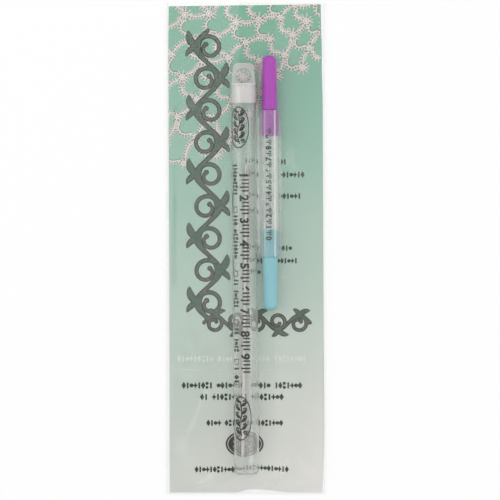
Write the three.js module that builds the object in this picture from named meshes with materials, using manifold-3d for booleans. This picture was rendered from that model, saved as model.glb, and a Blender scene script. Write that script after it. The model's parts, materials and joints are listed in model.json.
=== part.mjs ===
// A tatting needle in its pack. A clear film bag, open at the top, holds a folded leaflet, a clear
// tube with a hang plug and a steel needle in it, and a needle threader: a clear six-sided barrel
// with a handle and wire loop plugged into each end.
// Millimetres. The pack lies on its back: +X runs across it, +Y runs to the bag's mouth and +Z is up.
// The origin is at the centre of the bag's underside.

import * as THREE from 'three';
import { mergeVertices } from 'three/addons/utils/BufferGeometryUtils.js';
import Module from 'manifold-3d';

const wasm = await Module();
wasm.setup();

// Clearances
const restGap = 0.3; // between pieces that lie on each other
const seatGap = 0.2; // under a shoulder or flange that is pushed home
const fitGap = 0.15; // all round a plug in its bore, and round a wire in its socket

// Leaflet: one sheet folded twice into four panels
const leafletWidth = 68;
const leafletLength = 215.9;
const paperThickness = 0.15;
const foldGap = 0.2; // air between two panels
const panelCount = 4;
const foldSteps = 6; // straight steps in the bend of a fold

// Clear bag
const filmThickness = 0.25;
const sealWidth = 0.8;
const bagSideMargin = 1.95; // from the leaflet's side to the bag's side
const bagBottomMargin = 1.4; // from the leaflet's lower edge to the bag's lower edge
const bagTopMargin = 1.1; // from the leaflet's upper edge to the bag's mouth
const leafletEdgeRoom = 0.2; // beside the leaflet's edges, where the front wall starts to rise
const filmPanelSpan = 8; // widest flat panel in the front wall

// Needle tube
const tubeLength = 172.1;
const tubeDiameter = 11.1;
const tubeWall = 0.6;
const tubeFloor = 1;
const tubeFootRadius = 1.8; // rounding of the closed end
const tubeFootInset = 8.1; // from the leaflet's lower edge to the tube's closed end
const tubeFootX = 0.46; // where the closed end lies across the pack
const tubeLean = THREE.MathUtils.degToRad(0.475);
const roundSides = 48;

// Hang plug
const plugBodyLength = 8;
const plugSkirtWall = 1.1;
const plugCrown = 1.4; // solid thickness between the skirt's hollow and the flange
const plugFlange = 0.6;
const plugChamfer = 0.4;
const tabHeight = 9.1;
const tabThickness = 1.7;
const tabBaseInset = 0.25; // how far the tab's foot stays inside the flange's rim, each side
const tabTaper = 0.65; // how much narrower the tab is at the top, each side
const tabCornerRadius = 2.3;
const hangHoleRadius = 3.25;
const hangHoleRise = 3.4; // from the flange to the hole's centre

// Tatting needle
const needleLength = 129;
const needleDiameter = 1.3;
const needleTipLength = 2.4; // tapered, blunt point
const needleTipRadius = 0.3;
const needleHeadLength = 0.9; // rounded end beyond the eye
const eyeLength = 4.6;
const eyeWidth = 0.45;
const eyeEndMargin = 1; // from the eye end to the eye
const needleFootGap = 7.5; // from the tube's closed end to the needle's point
const needlePointAngle = THREE.MathUtils.degToRad(-28); // where the point lies round the bore's wall
const needleEyeAngle = THREE.MathUtils.degToRad(17); // where the eye lies round the bore's wall
const needleSides = 16;

// Needle threader
const barrelLength = 64.9;
const barrelFlats = 8.9; // across two opposite flats
const barrelBore = 5.5;
const barrelEndRadius = 4; // of the round face at each end
const barrelEndTaper = 3; // length of the turned taper at each end
const threaderTopInset = 22.5; // from the leaflet's upper edge to the upper handle's end
const threaderSideGap = 0.45; // between the tube and the barrel's lower end
const threaderLean = THREE.MathUtils.degToRad(0.223);
const fineGripLength = 24;
const heavyGripLength = 23.4;
const finePlugLength = 11.7;
const heavyPlugLength = 12.3;
const gripShoulderRadius = 3.4;
const gripEndRadius = 3.05;
const gripDome = 2; // rounding of a grip's outer end
const plugEndChamfer = 0.4;
const fineWire = 0.3; // diameter
const heavyWire = 0.5; // diameter
const loopTipGap = 3; // between the two loops' tips, in the middle of the barrel
const loopSideRoom = 0.4; // between a loop's widest point and the bore
const legSpacing = 1.6; // between a loop's two legs, centre to centre
const socketDepth = 3;
const loopTipWidth = 0.9; // across the bend at a loop's tip
const wireSides = 6;
const wireSteps = 44;

// Sizes that follow from the ones above
const bagWidth = leafletWidth + 2 * bagSideMargin;
const bagLength = leafletLength + bagBottomMargin + bagTopMargin;
const leafletBottom = filmThickness + restGap;
const foldPitch = paperThickness + foldGap;
const leafletTop = leafletBottom + panelCount * paperThickness + (panelCount - 1) * foldGap;
const leafletLowEdge = -bagLength / 2 + bagBottomMargin;
const leafletHighEdge = leafletLowEdge + leafletLength;
const tubeRadius = tubeDiameter / 2;
const tubeBoreRadius = tubeRadius - tubeWall;
const tubeFootY = leafletLowEdge + tubeFootInset;
const tubeAxisHeight = leafletTop + restGap + tubeRadius;
const barrelCorner = barrelFlats / Math.sqrt(3); // from the barrel's axis to a corner
const barrelAxisHeight = leafletTop + restGap + barrelFlats / 2;
const barrelFootY = leafletHighEdge - threaderTopInset - fineGripLength - seatGap - barrelLength;
const barrelFootX = tubeCentreAt(barrelFootY) + tubeRadius + threaderSideGap + barrelCorner;
const handlePlugRadius = barrelBore / 2 - fitGap;
const loopLength = (barrelLength - finePlugLength - heavyPlugLength - loopTipGap) / 2;

// Where the leaning tube's and threader's centre lines lie across the pack at a height up it
function tubeCentreAt(y) {
  return tubeFootX - (y - tubeFootY) * Math.tan(tubeLean);
}

function threaderCentreAt(y) {
  return barrelFootX - (y - barrelFootY) * Math.tan(threaderLean);
}

// A closed triangle mesh as a solid for joining and cutting. Triangles that have shrunk to
// nothing, such as those at a lathe's poles, are left out.
function toSolid(geometry) {
  const bare = geometry.clone();
  bare.deleteAttribute('normal');
  bare.deleteAttribute('uv');
  const merged = mergeVertices(bare, 1e-5);
  const index = merged.index.array;
  const triangles = [];
  for (let i = 0; i < index.length; i += 3) {
    const [a, b, c] = index.slice(i, i + 3);
    if (a !== b && b !== c && c !== a) {
      triangles.push(a, b, c);
    }
  }
  const mesh = new wasm.Mesh({
    numProp: 3,
    vertProperties: new Float32Array(merged.attributes.position.array),
    triVerts: new Uint32Array(triangles),
  });
  return new wasm.Manifold(mesh);
}

function fromSolid(solid) {
  const mesh = solid.getMesh();
  const geometry = new THREE.BufferGeometry();
  geometry.setAttribute('position', new THREE.BufferAttribute(mesh.vertProperties, 3));
  geometry.setIndex(new THREE.BufferAttribute(mesh.triVerts, 1));
  geometry.computeVertexNormals();
  return geometry;
}

// A turned form about the Y axis. The profile is a list of [radius, height] from the lower pole to
// the upper one, or round a closed ring.
function turned(profile, sides) {
  const points = profile.map(([radius, height]) => new THREE.Vector2(radius, height));
  return new THREE.LatheGeometry(points, sides);
}

// Profile points on an arc in the plane of [radius, height]; angle 0 points outwards
function arcPoints(centreRadius, centreHeight, radius, startDegrees, endDegrees, steps) {
  const points = [];
  for (let i = 0; i <= steps; i++) {
    const angle = THREE.MathUtils.degToRad(startDegrees + ((endDegrees - startDegrees) * i) / steps);
    points.push([centreRadius + radius * Math.cos(angle), centreHeight + radius * Math.sin(angle)]);
  }
  return points;
}

// A flat outline in X and Z, drawn out along +Y from y = 0
function drawnAlongY(shape, length) {
  const geometry = new THREE.ExtrudeGeometry(shape, { depth: length, bevelEnabled: false, curveSegments: 12 });
  geometry.rotateX(Math.PI / 2);
  geometry.translate(0, length, 0);
  return geometry;
}

// The outline of a strip of even thickness that follows a line of points
function stripOutline(line, thickness) {
  const upper = [];
  const lower = [];
  line.forEach((point, i) => {
    const before = line[Math.max(i - 1, 0)];
    const after = line[Math.min(i + 1, line.length - 1)];
    const along = after.clone().sub(before).normalize();
    const offset = new THREE.Vector2(-along.y, along.x).multiplyScalar(thickness / 2);
    upper.push(point.clone().add(offset));
    lower.unshift(point.clone().sub(offset));
  });
  return new THREE.Shape([...upper, ...lower]);
}

// Half a turn of the folded sheet, from one panel's level to another's
function foldBend(x, fromLevel, toLevel, side) {
  const middle = ((fromLevel + toLevel) / 2) * foldPitch;
  const radius = (Math.abs(toLevel - fromLevel) / 2) * foldPitch;
  const startAngle = toLevel > fromLevel ? -Math.PI / 2 : Math.PI / 2;
  const points = [];
  for (let i = 0; i <= foldSteps; i++) {
    const angle = startAngle * (1 - (2 * i) / foldSteps);
    points.push(new THREE.Vector2(x + side * radius * Math.cos(angle), middle + radius * Math.sin(angle)));
  }
  return points;
}

// The folded sheet: the lowest panel turns up round the others to become the cover, which folds
// back under itself, and the last panel lies inside.
function leafletGeometry() {
  const edge = leafletWidth / 2 - paperThickness / 2;
  const freeEdge = -edge + foldPitch;
  const lastLevel = panelCount - 1;
  const line = [
    new THREE.Vector2(freeEdge, 0),
    ...foldBend(edge - (lastLevel / 2) * foldPitch, 0, lastLevel, 1),
    ...foldBend(-edge + foldPitch / 2, lastLevel, lastLevel - 1, -1),
    ...foldBend(edge - (lastLevel / 2) * foldPitch, lastLevel - 1, 1, 1),
    new THREE.Vector2(freeEdge, foldPitch),
  ];
  return drawnAlongY(stripOutline(line, paperThickness), leafletLength);
}

// The points of a set that a tight line over them touches, from left to right
function upperHull(points) {
  const hull = [];
  const sorted = [...points].sort((a, b) => a[0] - b[0] || b[1] - a[1]);
  for (const point of sorted) {
    while (hull.length > 1) {
      const [first, second] = hull.slice(-2);
      const turn = (second[0] - first[0]) * (point[1] - first[1]) - (second[1] - first[1]) * (point[0] - first[0]);
      if (turn < 0) {
        break;
      }
      hull.pop();
    }
    hull.push(point);
  }
  return hull;
}

function heightOnLine(line, at) {
  const next = Math.max(1, line.findIndex(([x]) => x >= at));
  const [x0, z0] = line[next - 1];
  const [x1, z1] = line[next];
  return z0 + ((z1 - z0) * (at - x0)) / (x1 - x0);
}

// The places along a line, with long stretches split evenly
function splitStations(line, longest) {
  const stations = [line[0][0]];
  for (let i = 1; i < line.length; i++) {
    const start = line[i - 1][0];
    const span = line[i][0] - start;
    const parts = Math.ceil(span / longest);
    for (let part = 1; part <= parts; part++) {
      stations.push(start + (span * part) / parts);
    }
  }
  return stations;
}

// The underside of the bag's front wall across the pack: the tightest line over the leaflet, the
// tube and the barrel, in the lanes that they slide out through.
function frontWallAcross() {
  const sealHeight = filmThickness + restGap;
  const sealInner = bagWidth / 2 - sealWidth;
  const leafletSide = leafletWidth / 2 + leafletEdgeRoom;
  const clear = [
    [-sealInner, sealHeight],
    [-leafletSide, leafletTop + restGap],
    [leafletSide, leafletTop + restGap],
    [sealInner, sealHeight],
  ];
  for (const x of [tubeCentreAt(bagLength / 2), tubeCentreAt(tubeFootY)]) {
    clear.push(...arcPoints(x, tubeAxisHeight, tubeRadius + restGap, 15, 165, 10));
  }
  for (const x of [threaderCentreAt(bagLength / 2), threaderCentreAt(barrelFootY)]) {
    for (const side of [-1, 1]) {
      clear.push([x + (side * barrelCorner) / 2, barrelAxisHeight + barrelFlats / 2 + restGap]);
    }
  }
  return [[-bagWidth / 2, sealHeight], ...upperHull(clear), [bagWidth / 2, sealHeight]];
}

// The same underside along the pack: down from the tube's closed end to the bottom seal
function frontWallAlong() {
  const sealHeight = filmThickness + restGap;
  const crest = tubeAxisHeight + tubeRadius + restGap;
  return [
    [-bagLength / 2, sealHeight],
    [-bagLength / 2 + sealWidth, sealHeight],
    [leafletLowEdge - leafletEdgeRoom, leafletTop + restGap],
    [tubeFootY - restGap, crest],
    [bagLength / 2, crest],
  ];
}

// A closed sheet of even thickness over a grid of points, given its underside as a height
function sheetGeometry(columns, rows, thickness, undersideAt) {
  const underside = new THREE.PlaneGeometry(1, 1, columns.length - 1, rows.length - 1);
  const position = underside.attributes.position;
  for (let i = 0; i < position.count; i++) {
    const x = columns[i % columns.length];
    const y = rows[rows.length - 1 - Math.floor(i / columns.length)];
    position.setXYZ(i, x, y, undersideAt(x, y));
  }
  underside.computeVertexNormals();
  const normal = underside.attributes.normal;
  const lower = [...position.array];
  const upper = lower.map((value, i) => value + thickness * normal.array[i]);
  const top = position.count;
  const faces = [];
  const grid = underside.index.array;
  for (let i = 0; i < grid.length; i += 3) {
    const [a, b, c] = grid.slice(i, i + 3);
    faces.push(a + top, b + top, c + top, a, c, b);
  }
  const edge = borderOf(columns.length, rows.length);
  edge.forEach((from, i) => {
    const to = edge[(i + 1) % edge.length];
    faces.push(from, to, to + top, from, to + top, from + top);
  });
  const geometry = new THREE.BufferGeometry();
  geometry.setAttribute('position', new THREE.Float32BufferAttribute([...lower, ...upper], 3));
  geometry.setIndex(faces);
  geometry.computeVertexNormals();
  return geometry;
}

// The border of a plane's grid of points, anticlockwise seen from above; its first row is the highest
function borderOf(columnCount, rowCount) {
  const border = [];
  const lastRow = (rowCount - 1) * columnCount;
  for (let column = 0; column < columnCount - 1; column++) {
    border.push(lastRow + column);
  }
  for (let row = rowCount - 1; row > 0; row--) {
    border.push(row * columnCount + columnCount - 1);
  }
  for (let column = columnCount - 1; column > 0; column--) {
    border.push(column);
  }
  for (let row = 0; row < rowCount - 1; row++) {
    border.push(row * columnCount);
  }
  return border;
}

function bagFrontWallGeometry() {
  const across = frontWallAcross();
  const along = frontWallAlong();
  const columns = splitStations(across, filmPanelSpan);
  const rows = splitStations(along.slice(0, 4), filmPanelSpan / 2).concat(bagLength / 2);
  const undersideAt = (x, y) => Math.min(heightOnLine(across, x), heightOnLine(along, y));
  return sheetGeometry(columns, rows, filmThickness, undersideAt);
}

function bagBackWallGeometry() {
  const geometry = new THREE.BoxGeometry(bagWidth, bagLength, filmThickness);
  geometry.translate(0, 0, filmThickness / 2);
  return geometry;
}

// The tube, standing on its closed end
function needleTubeGeometry() {
  const innerFootRadius = Math.max(tubeFootRadius - tubeWall, tubeWall);
  return turned([
    [0, 0],
    ...arcPoints(tubeRadius - tubeFootRadius, tubeFootRadius, tubeFootRadius, -90, 0, 4),
    [tubeRadius, tubeLength],
    [tubeBoreRadius, tubeLength],
    ...arcPoints(tubeBoreRadius - innerFootRadius, tubeFloor + innerFootRadius, innerFootRadius, 0, -90, 3),
    [0, tubeFloor],
  ], roundSides);
}

// The plug's tab: a flat plate with round upper corners and the hang hole, standing on y = 0
function hangTabGeometry(rootDepth) {
  const baseHalf = tubeRadius - tabBaseInset;
  const topHalf = baseHalf - tabTaper;
  const outline = new THREE.Shape();
  outline.moveTo(-baseHalf, -rootDepth);
  outline.lineTo(baseHalf, -rootDepth);
  outline.lineTo(baseHalf, 0);
  outline.lineTo(topHalf, tabHeight - tabCornerRadius);
  outline.absarc(topHalf - tabCornerRadius, tabHeight - tabCornerRadius, tabCornerRadius, 0, Math.PI / 2);
  outline.absarc(tabCornerRadius - topHalf, tabHeight - tabCornerRadius, tabCornerRadius, Math.PI / 2, Math.PI);
  outline.lineTo(-baseHalf, 0);
  const hole = new THREE.Path();
  hole.absarc(0, hangHoleRise, hangHoleRadius, 0, 2 * Math.PI, true);
  outline.holes.push(hole);
  const geometry = new THREE.ExtrudeGeometry(outline, {
    depth: tabThickness,
    bevelEnabled: false,
    curveSegments: 16,
  });
  geometry.translate(0, 0, -tabThickness / 2);
  return geometry;
}

// The plug, with y = 0 at the tube's rim: a hollow skirt in the bore, a flange over the rim and the
// tab on top
function hangPlugGeometry() {
  const bodyRadius = tubeBoreRadius - fitGap;
  const hollowRadius = bodyRadius - plugSkirtWall;
  const flangeTop = seatGap + plugFlange;
  const body = turned([
    [0, flangeTop - plugFlange - plugCrown],
    [hollowRadius, flangeTop - plugFlange - plugCrown],
    [hollowRadius, -plugBodyLength],
    [bodyRadius - plugChamfer, -plugBodyLength],
    [bodyRadius, -plugBodyLength + plugChamfer],
    [bodyRadius, seatGap],
    [tubeRadius, seatGap],
    [tubeRadius, flangeTop],
    [0, flangeTop],
  ], roundSides);
  const rootDepth = plugFlange / 2;
  const tab = hangTabGeometry(rootDepth);
  tab.translate(0, flangeTop, 0);
  return fromSolid(toSolid(body).add(toSolid(tab)));
}

// The needle, standing on its point, with the eye's slot open towards +Z and -Z
function tattingNeedleGeometry() {
  const radius = needleDiameter / 2;
  const shank = turned([
    [0, 0],
    ...arcPoints(0, needleTipRadius, needleTipRadius, -60, 0, 3),
    [radius, needleTipLength],
    [radius, needleLength - needleHeadLength],
    [radius * 0.8, needleLength - needleHeadLength * 0.35],
    [radius * 0.4, needleLength],
    [0, needleLength],
  ], needleSides);
  const eyeTop = needleLength - eyeEndMargin;
  const end = eyeWidth / 2;
  const outline = new THREE.Shape();
  outline.absarc(0, eyeTop - end, end, 0, Math.PI);
  outline.absarc(0, eyeTop - eyeLength + end, end, Math.PI, 2 * Math.PI);
  const slot = new THREE.ExtrudeGeometry(outline, {
    depth: 2 * needleDiameter,
    bevelEnabled: false,
    curveSegments: 6,
  });
  slot.translate(0, 0, -needleDiameter);
  return fromSolid(toSolid(shank).subtract(toSolid(slot)));
}

// The barrel, standing on its lower end: a six-sided bar with a round bore and tapered ends
function threaderBarrelGeometry() {
  const outline = new THREE.Shape();
  for (let corner = 0; corner < 6; corner++) {
    const angle = (corner * Math.PI) / 3;
    const x = barrelCorner * Math.cos(angle);
    const z = barrelCorner * Math.sin(angle);
    if (corner === 0) {
      outline.moveTo(x, z);
    } else {
      outline.lineTo(x, z);
    }
  }
  const bore = new THREE.Path();
  bore.absarc(0, 0, barrelBore / 2, 0, 2 * Math.PI, true);
  outline.holes.push(bore);
  const bar = drawnAlongY(outline, barrelLength);
  const wide = barrelCorner + restGap;
  const wideTaper = (barrelEndTaper * (wide - barrelEndRadius)) / (barrelCorner - barrelEndRadius);
  const envelope = turned([
    [0, 0],
    [barrelEndRadius, 0],
    [wide, wideTaper],
    [wide, barrelLength - wideTaper],
    [barrelEndRadius, barrelLength],
    [0, barrelLength],
  ], roundSides);
  return fromSolid(toSolid(bar).intersect(toSolid(envelope)));
}

// A handle, with y = 0 at the barrel's end and the grip pointing to +Y: a plug for the bore with
// two sockets for the wire, and a tapering grip with a domed end
function handleGeometry(gripLength, plugLength, wireDiameter) {
  const shoulder = seatGap;
  const gripEnd = shoulder + gripLength;
  const body = turned([
    [0, -plugLength],
    [handlePlugRadius - plugEndChamfer, -plugLength],
    [handlePlugRadius, -plugLength + plugEndChamfer],
    [handlePlugRadius, shoulder],
    [gripShoulderRadius, shoulder],
    ...arcPoints(gripEndRadius - gripDome, gripEnd - gripDome, gripDome, 0, 90, 5),
    [0, gripEnd],
  ], 32);
  const socketRadius = wireDiameter / 2 + fitGap;
  let handle = toSolid(body);
  for (const side of [-1, 1]) {
    const socket = new THREE.CylinderGeometry(socketRadius, socketRadius, 2 * socketDepth, 12);
    socket.translate((side * legSpacing) / 2, -plugLength, 0);
    handle = handle.subtract(toSolid(socket));
  }
  return fromSolid(handle);
}

// A wire loop in the same frame as its handle: out of one socket, round a diamond-shaped loop that
// points to -Y, and back into the other socket
function wireLoopGeometry(plugLength, wireDiameter) {
  const reach = loopLength;
  const halfWidth = barrelBore / 2 - wireDiameter / 2 - loopSideRoom;
  const halfLeg = legSpacing / 2;
  const halfTip = loopTipWidth / 2;
  const face = -plugLength;
  const oneSide = [
    [halfLeg, face + socketDepth - fitGap],
    [halfLeg, face],
    [halfLeg, face - 0.1 * reach],
    [halfWidth, face - 0.5 * reach],
    [halfTip, face - reach + 1.2 * halfTip],
  ];
  const points = [
    ...oneSide.map(([x, y]) => new THREE.Vector3(-x, y, 0)),
    new THREE.Vector3(0, face - reach + wireDiameter / 2, 0),
    ...oneSide.reverse().map(([x, y]) => new THREE.Vector3(x, y, 0)),
  ];
  const section = new THREE.Shape();
  section.absarc(0, 0, wireDiameter / 2, 0, 2 * Math.PI);
  return new THREE.ExtrudeGeometry(section, {
    steps: wireSteps,
    curveSegments: wireSides,
    bevelEnabled: false,
    extrudePath: new THREE.CatmullRomCurve3(points, false, 'centripetal'),
  });
}

function surface(color, roughness, metalness = 0, opacity = 1) {
  return new THREE.MeshStandardMaterial({ color, roughness, metalness, opacity, transparent: opacity < 1 });
}

const clearFilm = () => surface('#e6eae8', 0.12, 0, 0.25);
const clearPlastic = () => surface('#dfe6e3', 0.08, 0, 0.35);
const printedPaper = () => surface('#9dbcad', 0.45);
const whitePlug = () => surface('#cdcbc8', 0.5);
const steel = () => surface('#c9c2be', 0.22, 1);
const purplePlastic = () => surface('#b059b7', 0.35);
const tealPlastic = () => surface('#8bc0c7', 0.35);

function piece(name, geometry, material) {
  const mesh = new THREE.Mesh(geometry, material);
  mesh.name = name;
  return mesh;
}

// The tube with its plug and needle, in a frame that stands on the tube's closed end
function tubeAssembly() {
  const group = new THREE.Group();
  group.position.set(tubeFootX, tubeFootY, tubeAxisHeight);
  group.rotation.z = tubeLean;
  group.add(piece('needle_tube', needleTubeGeometry(), clearPlastic()));
  const plug = piece('hang_plug', hangPlugGeometry(), whitePlug());
  plug.position.y = tubeLength;
  group.add(plug);
  group.add(restingNeedle());
  return group;
}

// The needle lies aslant on the bore's wall, its two ends at their own places round it
function restingNeedle() {
  const reach = tubeBoreRadius - needleDiameter / 2 - restGap;
  const onWall = (angle, y) => new THREE.Vector3(reach * Math.sin(angle), y, -reach * Math.cos(angle));
  const point = onWall(needlePointAngle, needleFootGap);
  const eye = onWall(needleEyeAngle, needleFootGap + needleLength);
  const needle = piece('tatting_needle', tattingNeedleGeometry(), steel());
  needle.position.copy(point);
  needle.quaternion.setFromUnitVectors(new THREE.Vector3(0, 1, 0), eye.sub(point).normalize());
  return needle;
}

// The threader, in a frame that stands on the barrel's lower end
function threaderAssembly() {
  const group = new THREE.Group();
  group.position.set(barrelFootX, barrelFootY, barrelAxisHeight);
  group.rotation.z = threaderLean;
  group.add(piece('threader_barrel', threaderBarrelGeometry(), clearPlastic()));

  const fineEnd = new THREE.Group();
  fineEnd.position.y = barrelLength;
  const fineHandle = handleGeometry(fineGripLength, finePlugLength, fineWire);
  fineEnd.add(piece('fine_end_handle', fineHandle, purplePlastic()));
  fineEnd.add(piece('fine_wire_loop', wireLoopGeometry(finePlugLength, fineWire), steel()));
  group.add(fineEnd);

  const heavyEnd = new THREE.Group();
  heavyEnd.rotation.z = Math.PI;
  const heavyHandle = handleGeometry(heavyGripLength, heavyPlugLength, heavyWire);
  heavyEnd.add(piece('heavy_end_handle', heavyHandle, tealPlastic()));
  heavyEnd.add(piece('heavy_wire_loop', wireLoopGeometry(heavyPlugLength, heavyWire), steel()));
  group.add(heavyEnd);
  return group;
}

const leaflet = piece('leaflet', leafletGeometry(), printedPaper());
leaflet.position.set(0, leafletLowEdge, leafletBottom + paperThickness / 2);

const pack = new THREE.Group();
pack.add(piece('bag_back_wall', bagBackWallGeometry(), clearFilm()));
pack.add(piece('bag_front_wall', bagFrontWallGeometry(), clearFilm()));
pack.add(leaflet);
pack.add(tubeAssembly());
pack.add(threaderAssembly());

export default pack;
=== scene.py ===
import json
import math
import random

import bmesh
import bpy
from mathutils import Matrix, Vector, geometry, noise
from mathutils.bvhtree import BVHTree


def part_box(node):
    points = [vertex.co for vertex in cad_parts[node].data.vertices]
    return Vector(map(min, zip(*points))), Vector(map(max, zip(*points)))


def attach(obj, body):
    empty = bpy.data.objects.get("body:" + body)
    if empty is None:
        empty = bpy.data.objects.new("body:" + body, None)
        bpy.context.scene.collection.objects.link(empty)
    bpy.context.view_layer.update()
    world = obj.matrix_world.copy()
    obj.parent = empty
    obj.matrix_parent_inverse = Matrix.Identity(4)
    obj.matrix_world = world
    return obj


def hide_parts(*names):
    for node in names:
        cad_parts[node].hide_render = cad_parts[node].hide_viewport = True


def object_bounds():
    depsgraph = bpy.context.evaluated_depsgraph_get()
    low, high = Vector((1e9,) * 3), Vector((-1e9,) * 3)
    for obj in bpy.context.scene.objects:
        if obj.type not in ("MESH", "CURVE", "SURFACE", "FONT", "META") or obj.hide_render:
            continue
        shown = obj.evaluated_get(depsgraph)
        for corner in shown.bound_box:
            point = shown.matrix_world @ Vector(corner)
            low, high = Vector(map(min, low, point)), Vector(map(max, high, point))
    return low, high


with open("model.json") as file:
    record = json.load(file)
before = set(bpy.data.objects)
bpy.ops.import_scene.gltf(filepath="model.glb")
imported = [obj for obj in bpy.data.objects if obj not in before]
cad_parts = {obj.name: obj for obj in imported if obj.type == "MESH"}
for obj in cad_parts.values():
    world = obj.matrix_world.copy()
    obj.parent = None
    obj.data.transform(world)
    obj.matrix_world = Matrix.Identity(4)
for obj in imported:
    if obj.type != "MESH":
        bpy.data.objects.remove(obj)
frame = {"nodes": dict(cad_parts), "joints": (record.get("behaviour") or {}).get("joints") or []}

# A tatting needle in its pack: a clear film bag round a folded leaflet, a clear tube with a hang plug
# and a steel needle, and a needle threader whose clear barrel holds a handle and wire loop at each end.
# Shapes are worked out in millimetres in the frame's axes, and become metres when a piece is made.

MM = 0.001
WHITE = (1, 1, 1, 1)
cad_low, cad_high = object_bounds()

# Sizes that the boxes of the frame don't give, in millimetres
PAPER = 0.15
FOLD_PANELS = 4
LEAFLET_SKEW = 0.37
LEAFLET_TOP_SLANT = 0.45
LEAFLET_TOP_DROP = 0.15
LOWER_EDGE_BOW = 1.5
LOWER_EDGE_PEAK = 1.7
LOWER_EDGE_LEFT_FOOT = -4.3
LOWER_EDGE_RIGHT_FOOT = 21.3
BOW_REACH = 22
RIGHT_EDGE_BULGE = 0.6
UPPER_RIGHT_BULGE = 0.33
RIGHT_CORNER_PULL = 0.4
LEFT_EDGE_BULGE = 0.18

FILM = 0.08
FILM_SEAL = 0.8
FILM_LIFT = 0.04
SEAL_HEIGHT = 0.4
BACK_LEVEL = 0.03
FILM_OVER_LEAFLET = 0.32
FILM_SAG = 0.45
FILM_EDGE = 0.02
BETWEEN_WALLS = 0.3
HOLE_BELOW_TAB = 5.7

TUBE_WALL = 0.6
TUBE_FLOOR = 1.0
TUBE_FOOT_RADIUS = 1.8
PLUG_BODY = 8.0
PLUG_SKIRT = 1.1
PLUG_CROWN = 1.4
PLUG_FLANGE = 0.6
TAB_THICKNESS = 1.7
TAB_BASE_INSET = 0.25
TAB_TAPER = 0.65
TAB_CORNER = 2.3
TAB_EDGE = 0.22
HANG_HOLE = 3.25
HANG_HOLE_RISE = 3.4
SEAT_GAP = 0.2
PRESS_FIT = 0.015

NEEDLE_DIAMETER = 1.3
NEEDLE_POINT = 2.4
NEEDLE_POINT_RADIUS = 0.3
NEEDLE_HEAD = 0.9
EYE_LENGTH = 4.6
EYE_WIDTH = 0.45
EYE_MARGIN = 1.0

BARREL_BORE = 5.5
BARREL_END_RADIUS = 4.0
BARREL_TAPER = 3.0
BARREL_CORNER_RADIUS = 0.55
SOCKET_ROOM = 0.15
SOCKET_DEPTH = 3.0
GRIP_SHOULDER = 3.4
GRIP_END = 3.05
GRIP_DOME = 2.5
FINE_WIRE = 0.3
HEAVY_WIRE = 0.5
LEG_SPACING = 1.6
LOOP_TIP = 0.9

# Shares of painted sheen and painted light in the film, and the lean of the leaflet's tint
BRIDGE_PAINTED_SHEEN = 0.12
HOLE_PAINTED_LIGHT = 0.14
TINT_TILT = 0.16
TINT_LEVEL = 0.25


# Helpers for placing and making pieces

def box_mm(node):
    low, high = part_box(node)
    return low / MM, high / MM


def stand(node, joint_name):
    """A matrix at the middle of a node's box, with +Y along a joint's axis, towards the bag's mouth."""
    axis = Vector(next(joint["axis"] for joint in frame["joints"] if joint["name"] == joint_name))
    low, high = box_mm(node)
    turn = Matrix(((axis.y, axis.x, 0), (-axis.x, axis.y, 0), (0, 0, 1)))
    return Matrix.Translation((low + high) / 2) @ turn.to_4x4()


def reach(node, at):
    """How far a node runs along a matrix's +Y: its lower and upper end."""
    low, high = box_mm(node)
    axis = at.col[1].xyz
    middle = (at.inverted() @ ((low + high) / 2)).y
    # A slanting piece's box is longer by its width's slant
    half = ((high.y - low.y) - (high.x - low.x) * abs(axis.x)) / 2 / axis.y
    return middle - half, middle + half


def placed(name, data):
    """A new object in the scene."""
    thing = bpy.data.objects.new(name, data)
    bpy.context.scene.collection.objects.link(thing)
    return thing


def worked_out(thing):
    """A new mesh of an object's curves, text or modifiers."""
    shape = thing.evaluated_get(bpy.context.evaluated_depsgraph_get())
    return bpy.data.meshes.new_from_object(shape)


def mesh_object(name, vertices, faces, at=Matrix.Identity(4)):
    """A mesh object from points in millimetres, placed by a matrix in millimetres."""
    mesh = bpy.data.meshes.new(name)
    mesh.from_pydata([(at @ Vector(v)) * MM for v in vertices], [], faces)
    mesh.update()
    return placed(name, mesh)


def finish_piece(piece, materials, body, nodes=(), sharp=40):
    """Smooths a piece up to an angle in degrees, gives it its materials and ties it to the frame."""
    mesh = piece.data
    mesh.shade_smooth()
    mesh.set_sharp_from_angle(angle=math.radians(sharp))
    mesh.materials.clear()
    for material in materials:
        mesh.materials.append(material)
    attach(piece, body)
    if nodes:
        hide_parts(*nodes)


def combine(piece, tool, operation):
    """Joins or cuts a piece with another one, which is then gone."""
    solid = piece.modifiers.new("solid", "BOOLEAN")
    solid.operation = operation
    solid.solver = "EXACT"
    solid.object = tool
    mesh = worked_out(piece)
    piece.modifiers.clear()
    piece.data = mesh
    bpy.data.objects.remove(tool)


def weld_and_face_out(piece):
    """Merges a mesh's doubled points and turns its faces outwards."""
    tidy = bmesh.new()
    tidy.from_mesh(piece.data)
    bmesh.ops.remove_doubles(tidy, verts=tidy.verts, dist=0.001 * MM)
    bmesh.ops.recalc_face_normals(tidy, faces=tidy.faces)
    tidy.to_mesh(piece.data)
    tidy.free()


def smooth_step(value, start, end):
    t = min(1, max(0, (value - start) / (end - start)))
    return t * t * (3 - 2 * t)


def spaced(start, end, step):
    """Evenly spaced values from start to end, about a step apart."""
    count = max(1, round(abs(end - start) / step))
    return [start + (end - start) * i / count for i in range(count + 1)]


# Outlines and paths, as lists of 2-D points

def left_of(direction):
    return Vector((-direction.y, direction.x))


def headings(path):
    """A path's direction at each of its points."""
    last = len(path) - 1
    return [(path[min(i + 1, last)] - path[max(i - 1, 0)]).normalized() for i in range(last + 1)]


def polar(centre, radius, degrees):
    """The point at a distance and an angle from a centre."""
    turn = math.radians(degrees)
    return Vector((centre[0] + radius * math.cos(turn), centre[1] + radius * math.sin(turn)))


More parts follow.
